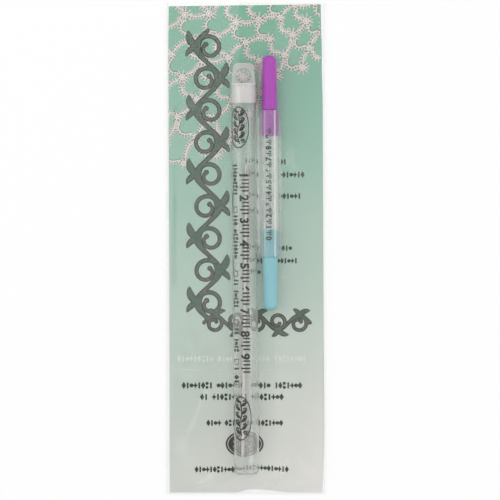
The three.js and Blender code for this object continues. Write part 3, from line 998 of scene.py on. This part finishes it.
def rosette():
    """A dark oval, and its pale lines: a rim, two rings of petals and a round middle."""
    ground, lines = Print(), Print()
    ground.polygon(oval(ROSETTE_CENTRE, ROSETTE_HALF)[:-1])
    lines.stroke(oval(ROSETTE_CENTRE, ROSETTE_HALF - Vector((0.95, 0.95))), 0.36)
    for petals, first, root, tip, spread in ((9, 0.0, 1.9, 3.7, 0.75), (5, 0.5, 0.7, 1.9, 0.5)):
        middle = (root + tip) / 2
        knots = [(root, 0), (middle, spread), (tip, 0), (middle, -spread), (root, 0)]
        for i in range(petals):
            out = polar((0, 0), 1, 360 * (i + first) / petals)
            side = left_of(out)
            wide = out * Vector((1.42, 1))
            lines.stroke(flowing([ROSETTE_CENTRE + wide * a + side * b for a, b in knots], 6), 0.3)
    lines.disc(ROSETTE_CENTRE, 0.55)
    return ground, lines


def leaflet_prints():
    """Every print on the leaflet's cover, each layer a hair above the one below."""
    lace = laid_lace()
    rosette_ground, rosette_lines = rosette()
    ornament = Ornament()
    ornament.vine(Vector((-16.6, -31.0)), Vector((-16.6, 97.0)), 9, 4.6, 2.1, 0.55)
    ornament.vine(Vector((-18.5, -32.6)), Vector((28.0, -32.6)), 5, 2.9, 1.0, 0.25)
    layers = (
        ("lace_shade_print", lace.shade, ink("lace_shade_ink", (96, 122, 106), (128, 134, 124), 620)),
        ("lace_print", lace.thread, ink("lace_ink", (232, 225, 217), (214, 199, 194), 1500)),
        ("ornament_outline_print", ornament.outline, ink("outline_ink", (8, 14, 10), (20, 24, 20))),
        ("ornament_band_print", ornament.band, ink("band_ink", (104, 90, 84), (68, 70, 60), 240)),
        ("ornament_fill_print", ornament.fill, ink("fill_ink", (40, 92, 64), (64, 90, 72), 130)),
        ("small_motif_print", small_print(), ink("small_ink", (22, 44, 28), (36, 54, 38))),
        ("pale_motif_print", pale_print(), ink("pale_ink", (214, 219, 212), (202, 210, 202))),
        ("rosette_print", rosette_ground, ink("rosette_ink", (34, 30, 30), (46, 41, 41))),
        ("rosette_line_print", rosette_lines, ink("rosette_line_ink", (196, 190, 189), (172, 166, 166))),
    )
    slices = spaced(-30, 30, 4)
    for number, (name, shapes, material) in enumerate(layers):
        level = leaflet_high.z + PRINT_LIFT * (1 + 0.5 * number)
        laid_print(name, shapes, lambda x, y: paper_at(x, y, level), material, "leaflet_sheet",
                   COVER_WINDOW, slices)


# The film bag

film_low = cad_low / MM
film_high = cad_high / MM
seal_x = film_high.x - FILM_SEAL
seal_y = film_low.y + FILM_SEAL
tube_low, tube_high = box_mm("needle_tube")
barrel_low, barrel_high = box_mm("threader_barrel")

# Sharper folds in the film, each from a point to another, with a height and a width
SHARP_FOLDS = (
    (-4.5, -101, -20, -107, -0.5, 1.1), (-9, -93, -24, -106, -0.55, 1.8), (5, -101, 14, -107.5, -0.5, 1.2),
    (16, -92, 25, -107, -0.6, 1.9), (22, -88, 31, -101, -0.5, 1.6), (-13, 104, -22, 78, -0.3, 1.6),
    (21, 107, 29, 70, -0.4, 1.7), (-18, -60, -27, -84, -0.35, 1.5), (20, 18, 29, -14, -0.3, 1.6),
)


def front_wall_underside():
    """A function that gives the underside of the front wall's solid over the bag's plan."""
    wall = frame["nodes"]["bag_front_wall"].data
    faces = [tuple(polygon.vertices) for polygon in wall.polygons]
    tree = BVHTree.FromPolygons([vertex.co / MM for vertex in wall.vertices], faces)
    return lambda x, y: tree.ray_cast(Vector((x, y, BETWEEN_WALLS)), Vector((0, 0, 1)))[0].z


def slack(x, y):
    """How free the front wall is to sag: 0 over the lanes that the tube and threader slide in."""
    left = 1 - smooth_step(x, tube_low.x - 11, tube_low.x - 3.5)
    right = smooth_step(x, barrel_high.x + 2.5, barrel_high.x + 9)
    below = 1 - smooth_step(y, tube_low.y - 2.2, tube_low.y - 0.4)
    inside = smooth_step(seal_x - abs(x), 1.2, 5) * smooth_step(y, seal_y + 0.5, seal_y + 3)
    return max(left, right, below * 0.6) * inside


def creases(x, y):
    """Height of the film's folds: long soft ones all over, and the sharper ones."""
    soft = 0.35 * noise.noise(Vector((x / 9, y / 26, 1.7))) + 0.15 * noise.noise(Vector((x / 4, y / 9, 6.1)))
    total = soft * (0.6 + 0.4 * smooth_step(abs(y), 40, 100))
    for x0, y0, x1, y1, height, width in SHARP_FOLDS:
        run = Vector((x1 - x0, y1 - y0))
        aside = Vector((x - x0, y - y0))
        share = min(1, max(0, aside.dot(run) / run.length_squared))
        distance = (aside - run * share).length
        total += height * math.exp(-(distance / width) ** 1.6) * math.sin(math.pi * min(1, share + 0.12))
    return total


def film_bag():
    """The bag: front and back walls welded along both sides and the bottom, open at the mouth."""
    underside = front_wall_underside()
    rest = leaflet_high.z + FILM_OVER_LEAFLET
    # Lines of a grid, closer together near the welds
    columns = [
        film_low.x + FILM_EDGE, -seal_x - 0.4, -seal_x,
        *spaced(-seal_x + 0.3, -33, 0.3), *spaced(-32.2, 32.2, 0.8), *spaced(33, seal_x - 0.3, 0.3),
        seal_x, seal_x + 0.4, film_high.x - FILM_EDGE,
    ]
    rows = [
        film_low.y + FILM_EDGE, seal_y - 0.4, seal_y,
        *spaced(seal_y + 0.3, -98, 0.45), *spaced(-97, film_high.y - FILM_EDGE, 1.2),
    ]
    vertices = []
    faces = []

    def front(x, y):
        x = max(-seal_x, min(seal_x, x))
        y = max(seal_y, y)
        height = underside(x, y) + FILM_LIFT
        free = slack(x, y)
        sag = FILM_SAG * math.sin(math.pi * smooth_step(abs(x), 8, 34.6)) * free
        lowered = height - sag + min(0, creases(x, y) - 0.15) * free
        lifted = max(lowered, min(height, rest))
        seal = smooth_step(seal_x - abs(x), 0, 0.7) * smooth_step(y - seal_y, 0, 0.5)
        return SEAL_HEIGHT + (lifted - SEAL_HEIGHT) * seal if seal < 1 else lifted

    def back(x, y):
        rise = 1 - min(smooth_step(seal_x - abs(x), 0, 1.4), smooth_step(y - seal_y, 0, 1.2))
        level = BACK_LEVEL + 0.02 * (1 + math.sin(x / 5 + 2 * math.sin(y / 19)))
        return level + (SEAL_HEIGHT - FILM - level) * rise

    def sheet(surface, lift, across, along):
        """A sheet of triangles at a lift above a surface, and its vertex at each point of the grid."""
        index = {}
        for i in across:
            for j in along:
                index[i, j] = len(vertices)
                vertices.append((columns[i], rows[j], surface(columns[i], rows[j]) + lift))
        for i in across[:-1]:
            for j in along[:-1]:
                a, b, c, d = index[i, j], index[i + 1, j], index[i + 1, j + 1], index[i, j + 1]
                faces.extend([(a, b, c), (a, c, d)] if columns[i] < 0 else [(a, b, d), (b, c, d)])
        return index

    def rim(first, second, edge):
        """Joins two sheets along an edge."""
        for start, end in zip(edge, edge[1:]):
            faces.append((first[start], second[start], second[end], first[end]))

    across, along = range(len(columns)), range(len(rows))
    welded, inside = across[2:-2], along[2:]
    front_out = sheet(front, FILM, across, along)
    back_out = sheet(back, 0, across, along)
    front_in = sheet(front, 0, welded, inside)
    back_in = sheet(back, FILM, welded, inside)
    top = along[-1]
    mouth = [(i, top) for i in welded]
    left = [*[(i, top) for i in (2, 1)], *[(0, j) for j in reversed(along)]]
    right = [*[(across[-1], j) for j in along], *[(across[i], top) for i in (-2, -3)]]
    rim(front_out, back_out, [*left, *[(i, 0) for i in across[1:-1]], *right])
    rim(front_out, front_in, mouth)
    rim(back_in, back_out, mouth)
    piece = mesh_object("film_bag", vertices, faces)
    weld_and_face_out(piece)
    finish_piece(piece, [clear_film()], "bag", ["bag_back_wall", "bag_front_wall"], 50)


# The tube, its plug and its needle

tube_at = stand("needle_tube", "tube_slide")
tube_foot, tube_rim = reach("needle_tube", tube_at)
tube_radius = (tube_high.z - tube_low.z) / 2
tube_bore = tube_radius - TUBE_WALL


def across_at(at, y):
    """Where the middle line of a matrix's +Y lies across the pack, at a place along it."""
    return at.translation.x + (y - at.translation.y) * at.col[1].x / at.col[1].y


def tube_edge(y):
    """Where the tube's right edge lies across the pack."""
    return across_at(tube_at, y) + tube_radius


def needle_tube():
    profile = rounded([
        (0, tube_foot, 0), (tube_radius, tube_foot, TUBE_FOOT_RADIUS),
        (tube_radius, tube_rim, 0.14), (tube_bore, tube_rim, 0.14),
        (tube_bore, tube_foot + TUBE_FLOOR, 1.2), (0, tube_foot + TUBE_FLOOR, 0),
    ])
    piece = mesh_object("clear_tube", *turned(profile, 96), tube_at)

    def frosted_foot(finish):
        return finish.between(finish.along("Y"), tube_low.y * MM, (tube_low.y + 1.6) * MM, 0.3, 0.0)

    plastic = clear_plastic("clear_tube_plastic", 0.08, srgb(190, 193, 186), frosted_foot)
    finish_piece(piece, [plastic], "tube", ["needle_tube"])


def on_tube(across, along):
    """A point on the tube's outside, across it from its top line and along it from its foot."""
    radius = tube_radius + PRINT_LIFT
    angle = across / tube_radius
    return tube_at @ Vector((radius * math.sin(angle), tube_foot + along, radius * math.cos(angle)))


def tube_oval(shapes, low, high):
    """A plain oval frame with a leaf spray in it, printed round the tube."""
    centre = Vector((-2.5, (low + high) / 2))
    half = (high - low) / 2
    rim = oval(centre, Vector((4.7, half)), 64)
    shapes.stroke(rim, lambda t: 0.34 + 0.3 * abs(math.sin(math.pi * t)))
    bends = ((0.4, -0.8), (-0.7, -0.25), (0.5, 0.2), (-0.2, 0.8))
    shapes.stroke(flowing([centre + Vector((x, half * y)) for x, y in bends]), 0.6)
    for i in range(9):
        rise = (i - 4) * half * 0.18
        side = 1 if i % 2 else -1
        root = centre + Vector((0.1 * side, rise))
        leaf = Vector((side * 2.7, half * 0.22))
        shapes.stroke([root + leaf * k / 6 for k in range(7)], lambda t: 1.5 * math.sin(math.pi * t) + 0.08)
        curl = centre + Vector((-side * 2.0, rise + half * 0.05))
        spiral = [Vector((side, 1)) * polar((0, 0), 1.0 - 0.045 * k, 36 * k) for k in range(17)]
        shapes.stroke([curl + point for point in spiral], 0.4)


def tube_print():
    """A scale with plain figures, a line of small motifs with tick boxes, and an oval at each end."""
    shapes = Print()
    tube_oval(shapes, 144.4, 162.3)
    tube_oval(shapes, 15.4, 34.4)
    for number in range(1, 10):
        along = 143.4 - 10 * number
        shapes.figure(number, (-0.4, along - 1.2), 3.8, -90, 0.22)
        for step, left in ((3.2, -1.1), (4.8, -1.1), (6.4, -2.1), (8.0, -1.1)):
            shapes.stroke([Vector((x, along - step)) for x in spaced(1.95, left, (1.95 - left) / 8)], 0.7)
    motifs = {"height": 3.5, "pitch": 0.46, "kinds": ("bar", "bar", "lozenge", "bar", "dot", "bar", "bead")}
    middle = -4.7
    motif_row(shapes, Vector((middle, 136.6)), Vector((middle, 124.2)), **motifs)
    for top, run in ((118.3, 19.5), (90.0, 13.0), (68.4, 11.0), (51.1, 7.4)):
        box = [Vector((middle + x, top - y)) for x, y in ((-1.2, 0), (1.2, 0), (1.2, 2.3), (-1.2, 2.3))]
        shapes.stroke([*box, *box[:2]], 0.4)
        ends = [Vector((middle, top - below)) for below in (4.2, 2.4 + run)]
        motif_row(shapes, *ends, gaps=((0.26, 0.36),), **motifs)
    material = ink("tube_ink", (24, 32, 26), (40, 48, 42), 900, 0.35)
    window = (-7.4, 6.6, 2, tube_rim - tube_foot - 2)
    laid_print("tube_scale_print", shapes, on_tube, material, "tube", window,
               spaced(-7.2, 6.3, 0.5))


def plate(outline, hole, thickness, edge, at):
    """A flat plate with a hole and rounded edges, in the plane of X and Y."""
    curve = bpy.data.curves.new("plate", "CURVE")
    curve.dimensions = "2D"
    curve.fill_mode = "BOTH"
    curve.extrude = thickness / 2 - edge
    curve.bevel_depth = edge
    curve.bevel_resolution = 3
    curve.offset = -edge
    for points in (outline, hole):
        spline = curve.splines.new("POLY")
        spline.points.add(len(points) - 1)
        for point, place in zip(spline.points, points):
            point.co = (place.x, place.y, 0, 1)
        spline.use_cyclic_u = True
    holder = placed("plate", curve)
    mesh = worked_out(holder)
    bpy.data.objects.remove(holder)
    mesh.transform(Matrix.Scale(MM, 4) @ at)
    piece = placed("plate", mesh)
    weld_and_face_out(piece)
    return piece


def hang_plug():
    """A hollow plug with a flange over the tube's rim and a flat tab with a round hang hole."""
    body = tube_bore + PRESS_FIT
    hollow = body - PLUG_SKIRT
    seat = tube_rim + SEAT_GAP
    flange = seat + PLUG_FLANGE
    crown = seat - PLUG_CROWN
    end = tube_rim - PLUG_BODY
    profile = rounded([
        (0, crown, 0), (hollow, crown, 0.5), (hollow, end, 0.2), (body, end, 0.4),
        (body, seat, 0.05), (tube_radius, seat, 0.12), (tube_radius, flange, 0.2), (0, flange, 0),
    ])
    piece = mesh_object("white_hang_plug", *turned(profile, 96), tube_at)
    base = tube_radius - TAB_BASE_INSET
    foot = -PLUG_FLANGE / 2
    corner = base - TAB_TAPER - TAB_CORNER
    turn_at = reach("hang_plug", tube_at)[1] - flange - TAB_CORNER
    outline = [
        Vector((-base, foot)), Vector((base, foot)), Vector((base, 0)),
        *arc((corner, turn_at), TAB_CORNER, 0, 90, 12), *arc((-corner, turn_at), TAB_CORNER, 90, 180, 12),
        Vector((-base, 0)),
    ]
    hole = list(reversed(arc((0, HANG_HOLE_RISE), HANG_HOLE, 0, 352.5, 47)))
    tab_at = tube_at @ Matrix.Translation((0, flange, 0))
    combine(piece, plate(outline, hole, TAB_THICKNESS, TAB_EDGE, tab_at), "UNION")
    plastic = moulded_plastic("white_plug_plastic", (218, 215, 214), (210, 208, 206), (226, 222, 222),
                              0.42, 0.35, tab_at.translation.y)
    finish_piece(piece, [plastic], "plug", ["hang_plug"], 35)


def tatting_needle():
    """The needle, which lies aslant on the bore's wall, with a long eye near its upper end."""
    low, high = box_mm("tatting_needle")
    radius = NEEDLE_DIAMETER / 2
    foot = Vector((low.x + radius, low.y, high.z - radius))
    head = Vector((high.x - radius, high.y, low.z + radius))
    length = (head - foot).length
    turn = Vector((0, 1, 0)).rotation_difference((head - foot).normalized())
    at = Matrix.Translation(foot) @ turn.to_matrix().to_4x4()
    shoulder = Vector((0, length - NEEDLE_HEAD))
    profile = [
        *arc((0, NEEDLE_POINT_RADIUS), NEEDLE_POINT_RADIUS, -90, 0, 8),
        Vector((radius * 0.86, NEEDLE_POINT * 0.6)),
        Vector((radius, NEEDLE_POINT)),
        *[shoulder + Vector((radius, NEEDLE_HEAD)) * point for point in arc((0, 0), 1, 0, 80, 8)],
        Vector((0, length)),
    ]
    piece = mesh_object("steel_needle", *turned(profile, 40), at)
    eye_top = length - EYE_MARGIN - EYE_WIDTH / 2
    eye_foot = length - EYE_MARGIN - EYE_LENGTH + EYE_WIDTH / 2
    slot = [*arc((0, eye_top), EYE_WIDTH / 2, 0, 180, 10), *arc((0, eye_foot), EYE_WIDTH / 2, 180, 360, 10)]
    rings = [[(p.x, p.y, z) for p in slot] for z in (-NEEDLE_DIAMETER, NEEDLE_DIAMETER)]
    combine(piece, mesh_object("eye", *lofted(rings, closed=False), at), "DIFFERENCE")
    steel = metal("polished_steel", (236, 222, 222), (214, 200, 200), 0.48, 2600, 0.85)
    finish_piece(piece, [steel], "needle", ["tatting_needle"], 35)


# The threader

barrel_at = stand("threader_barrel", "threader_slide")
barrel_foot, barrel_top = reach("threader_barrel", barrel_at)
barrel_flats = barrel_high.z - barrel_low.z
bore_radius = BARREL_BORE / 2


def hex_radius(angle):
    """Distance from the barrel's axis to its rounded six-sided outline, at an angle in degrees."""
    from_corner = abs((angle + 30) % 60 - 30)
    half = barrel_flats / 2
    slant = math.cos(math.radians(30))
    centre = (half - BARREL_CORNER_RADIUS) / slant
    tangent = math.atan2(BARREL_CORNER_RADIUS * 0.5, centre + BARREL_CORNER_RADIUS * slant)
    turn = math.radians(from_corner)
    if turn < tangent:
        aside = centre * math.sin(turn)
        return centre * math.cos(turn) + math.sqrt(BARREL_CORNER_RADIUS ** 2 - aside ** 2)
    return half / math.cos(math.radians(30) - turn)


def barrel_edge(y):
    """Where the barrel's left edge lies across the pack."""
    return across_at(barrel_at, y) - hex_radius(0)


def barrel_rings():
    """Rings up the outside, which is turned to a taper at each end, and back down the bore."""
    # Angles in degrees, closer together at the rounded corners
    from_corner = (1.1, 2.2, 3.4, 6, 10, 15, 20, 25)
    steps = (-30, *[-step for step in reversed(from_corner)], 0, *from_corner)
    angles = [corner + step for corner in range(0, 360, 60) for step in steps]
    corner = hex_radius(0)
    full = corner + 1
    end = [(0, BARREL_END_RADIUS - 0.22), (0.07, BARREL_END_RADIUS - 0.07), (0.22, BARREL_END_RADIUS)]
    for depth in spaced(0.45, BARREL_TAPER, 0.16):
        end.append((depth, BARREL_END_RADIUS + (corner - BARREL_END_RADIUS) * depth / BARREL_TAPER))
    end.append((BARREL_TAPER + 0.3, full))
    mouth = [(0, bore_radius + 0.25), (0.1, bore_radius + 0.08), (0.3, bore_radius)]
    stations = [
        *[(barrel_foot + depth, limit) for depth, limit in end],
        *[(y, full) for y in spaced(barrel_foot + 6, barrel_top - 6, 4)],
        *[(barrel_top - depth, limit) for depth, limit in reversed(end)],
        *[(barrel_top - depth, limit) for depth, limit in mouth],
        *[(y, bore_radius) for y in reversed(spaced(barrel_foot + 6, barrel_top - 6, 8))],
        *[(barrel_foot + depth, limit) for depth, limit in reversed(mouth)],
    ]
    rings = []
    for y, limit in stations:
        points = [polar((0, 0), min(limit, hex_radius(angle)), angle) for angle in angles]
        rings.append([(p.x, y, -p.y) for p in points])
    return rings


def threader_barrel():
    piece = mesh_object("clear_barrel", *lofted(barrel_rings()), barrel_at)
    aside = barrel_at.col[0].xyz
    middle = aside.dot(barrel_at.translation)

    def dulled_corners(finish):
        """Painted highlights along the top facet's long corners, stronger on the right, and painted light on
        the barrel's slanted sides, more on the left.
        """
        along_x = finish.out("VectorMath", {0: finish.place, 1: aside}, "Value", operation="DOT_PRODUCT")
        across = finish.math("SUBTRACT", along_x, middle * MM)
        off = finish.apart(finish.math("ABSOLUTE", across), (hex_radius(0) / 2 - 0.3) * MM)
        strength = finish.between(across, -1 * MM, 1 * MM, 0.2, 0.36)
        # Painted highlight along each of the top facet's corners
        corner_highlight = finish.times(finish.between(off, 0.1 * MM, 0.7 * MM, 1.0, 0.0), strength)
        # Painted light on the slanted sides
        left_painted_light = finish.between(across, -3.6 * MM, -2.9 * MM, 0.2, 0.0)
        right_painted_light = finish.between(across, 3.4 * MM, 3.9 * MM, 0.0, 0.12)
        return finish.plus(corner_highlight, finish.plus(left_painted_light, right_painted_light))

    plastic = clear_plastic("clear_barrel_plastic", 0.12, srgb(196, 202, 196), dulled_corners)
    finish_piece(piece, [plastic], "threader", ["threader_barrel"], 25)


def on_facet(across, along):
    """A point on the barrel's top facet."""
    return barrel_at @ Vector((across, along, barrel_flats / 2 + PRINT_LIFT))


def barrel_print():
    """Plain figures with ticks between them along the barrel's top facet."""
    shapes = Print()
    for number in range(10):
        y = barrel_foot + 8.2 + 5 * number
        shapes.figure(number, (-0.45, y), 2.4, 90, 0.12)
        for step, left in ((1.7, -0.5), (2.5, -1.6), (3.3, -0.5)):
            shapes.stroke([Vector((0.7, y + step)), Vector((left, y + step))], 0.45)
    material = ink("barrel_ink", (40, 48, 44), (56, 64, 60), 900, 0.35)
    laid_print("barrel_scale_print", shapes, on_facet, material, "threader")


def threader_end(body, outward, plastic, wire, steel):
    """A handle with its wire loop, in a frame that stands on the barrel's end."""
    turn = Matrix.Identity(4) if outward > 0 else Matrix.Rotation(math.pi, 4, "Z")
    end = barrel_top if outward > 0 else -barrel_foot
    at = barrel_at @ turn @ Matrix.Translation((0, end, 0))
    low, high = reach(body + "_handle", barrel_at)
    inner, outer = [y - end for y in ((low, high) if outward > 0 else (-high, -low))]
    handle(body, plastic, wire, at, inner, outer)
    wire_loop(body, steel, wire, at, inner)


def handle(body, plastic, wire, at, inner, outer):
    """A plug, a shoulder and a tapering grip, with two sockets for the wire's legs."""
    plug = bore_radius + PRESS_FIT
    profile = rounded([
        (0, inner, 0), (plug, inner, 0.35), (plug, SEAT_GAP, 0.08),
        (GRIP_SHOULDER, SEAT_GAP, 0.3), (GRIP_END, outer, GRIP_DOME), (0, outer, 0),
    ], 10)
    piece = mesh_object(body + "_grip", *turned(profile, 80), at)
    room = wire / 2 + SOCKET_ROOM
    hole = [Vector(p) for p in ((0, inner - 1), (room, inner - 1), (room, inner + SOCKET_DEPTH),
                                (0, inner + SOCKET_DEPTH))]
    for side in (-1, 1):
        socket_at = at @ Matrix.Translation((side * LEG_SPACING / 2, 0, 0))
        combine(piece, mesh_object("socket", *turned(hole, 20), socket_at), "DIFFERENCE")
    finish_piece(piece, [plastic], body, [body + "_handle"], 35)


def wire_loop(body, steel, wire, at, face):
    """A springy wire loop from one socket of a handle's plug round a narrow diamond and back."""
    node = body.replace("_end", "_wire_loop")
    low, high = box_mm(node)
    tip = min((at.inverted() @ Vector((0, y, 0))).y for y in (low.y, high.y)) + wire / 2
    half_width = (high.x - low.x) / 2 - wire / 2 - 0.03
    span = face - tip
    leg = LEG_SPACING / 2
    side = [(leg, face + SOCKET_DEPTH - SOCKET_ROOM), (leg, face), (leg, face - 0.1 * span),
            (half_width, face - 0.5 * span), (LOOP_TIP / 2, tip + 0.6 * LOOP_TIP)]
    knots = [Vector(p) for p in (*[(-x, y) for x, y in side], (0, tip), *reversed(side))]
    piece = mesh_object(node + "_strand", *swept(flowing(knots, 14), wire / 2, 14), at)
    finish_piece(piece, [steel], body, [node])


def threader():
    threader_barrel()
    barrel_print()
    purple = moulded_plastic("purple_plastic", (170, 38, 178), (164, 36, 174), (180, 42, 182), 0.4, 0.1)
    teal = moulded_plastic("teal_plastic", (132, 194, 203), (126, 188, 197), (142, 200, 207), 0.38, 0.1)
    steel = metal("steel_wire", (205, 205, 205), (170, 170, 172), 0.2, 3200)
    threader_end("fine_end", 1, purple, FINE_WIRE, steel)
    threader_end("heavy_end", -1, teal, HEAVY_WIRE, steel)


# Stage, light and camera

PHOTO_SPAN = 221.2
PHOTO_CENTRE = Vector((1.88, -0.43, 5))
LENS = 500
SENSOR = 36
FLOOR_REACH = 3000
FLOOR_LEVEL = -0.02


def white_floor():
    """A plain white floor that keeps the object's shadow and shows white to camera and mirror rays."""
    ends = (-FLOOR_REACH, FLOOR_REACH)
    corners = [(x, y, FLOOR_LEVEL) for x in ends for y in ends]
    floor = mesh_object("floor", corners, [(0, 2, 3, 1)])
    finish = Finish("white_floor")
    tone = finish.ramp(finish.noise(300, 2), [(0.3, (0.93, 0.93, 0.93, 1)), (0.7, (0.95, 0.95, 0.95, 1))])
    matt = finish.out("BsdfDiffuse", {"Color": tone})
    white = finish.out("Emission", {"Color": WHITE, "Strength": 1.0})
    seen = finish.math("MAXIMUM", finish.ray("Is Camera Ray"), finish.ray("Is Glossy Ray"))
    seen = finish.math("MAXIMUM", seen, finish.ray("Is Transmission Ray"))
    floor.data.materials.append(finish.done(finish.mix(finish.times(seen, 0.8), matt, white)))


def studio_world(level):
    """A pale room, dimmer near the floor: white to the camera, and brighter on the right in mirrors."""
    world = bpy.data.worlds.new("studio")
    nodes = Nodes(world)
    ways = nodes.node("SeparateXYZ", {"Vector": nodes.out("TexCoord", output="Generated")}).outputs
    height = nodes.between(ways["Z"], 0.05, 0.75, 0.5, 1.0, interpolation_type="SMOOTHSTEP")
    side = nodes.between(ways["X"], -0.3, 0.35, 0.75, 1.1, interpolation_type="SMOOTHSTEP")
    room, mirrored, white = [
        nodes.out("Background", {"Color": WHITE, "Strength": strength})
        for strength in (nodes.times(height, level), nodes.times(height, side), 1.0)]
    for_mirrors = nodes.mix(nodes.ray("Is Glossy Ray"), room, mirrored)
    nodes.node("OutputWorld", {"Surface": nodes.mix(nodes.ray("Is Camera Ray"), for_mirrors, white)})
    bpy.context.scene.world = world


def lamp(name, place, size_x, size_y, watts):
    """A rectangular lamp aimed at the pack's middle, with its place in metres."""
    light = bpy.data.lights.new(name, "AREA")
    light.shape = "RECTANGLE"
    light.size = size_x
    light.size_y = size_y
    light.energy = watts
    holder = placed(name, light)
    holder.location = place
    holder.rotation_euler = Vector(place).to_track_quat("Z", "Y").to_euler()
    holder.visible_camera = False


def photo_camera():
    """A camera straight above the pack that frames it as the photograph does."""
    data = bpy.data.cameras.new("photo_camera")
    data.lens = LENS
    data.sensor_width = SENSOR
    data.clip_end = 50
    camera = placed("photo_camera", data)
    camera.location = (PHOTO_CENTRE + Vector((0, 0, PHOTO_SPAN * LENS / SENSOR))) * MM
    bpy.context.scene.camera = camera


def main():
    random.seed(11)
    leaflet()
    leaflet_prints()
    needle_tube()
    tube_print()
    hang_plug()
    tatting_needle()
    threader()
    film_bag()
    white_floor()
    studio_world(0.92)
    lamp("right_strip", (0.75, 0.05, 0.55), 0.3, 0.9, 0.8)
    lamp("left_strip", (-0.8, 0.1, 0.6), 0.3, 0.9, 1.7)
    lamp("upper_soft", (0.1, 0.9, 0.9), 0.6, 0.4, 1.2)
    photo_camera()
    bpy.context.scene.cycles.transparent_max_bounces = 32
    bpy.context.scene.view_settings.view_transform = "Standard"


main()
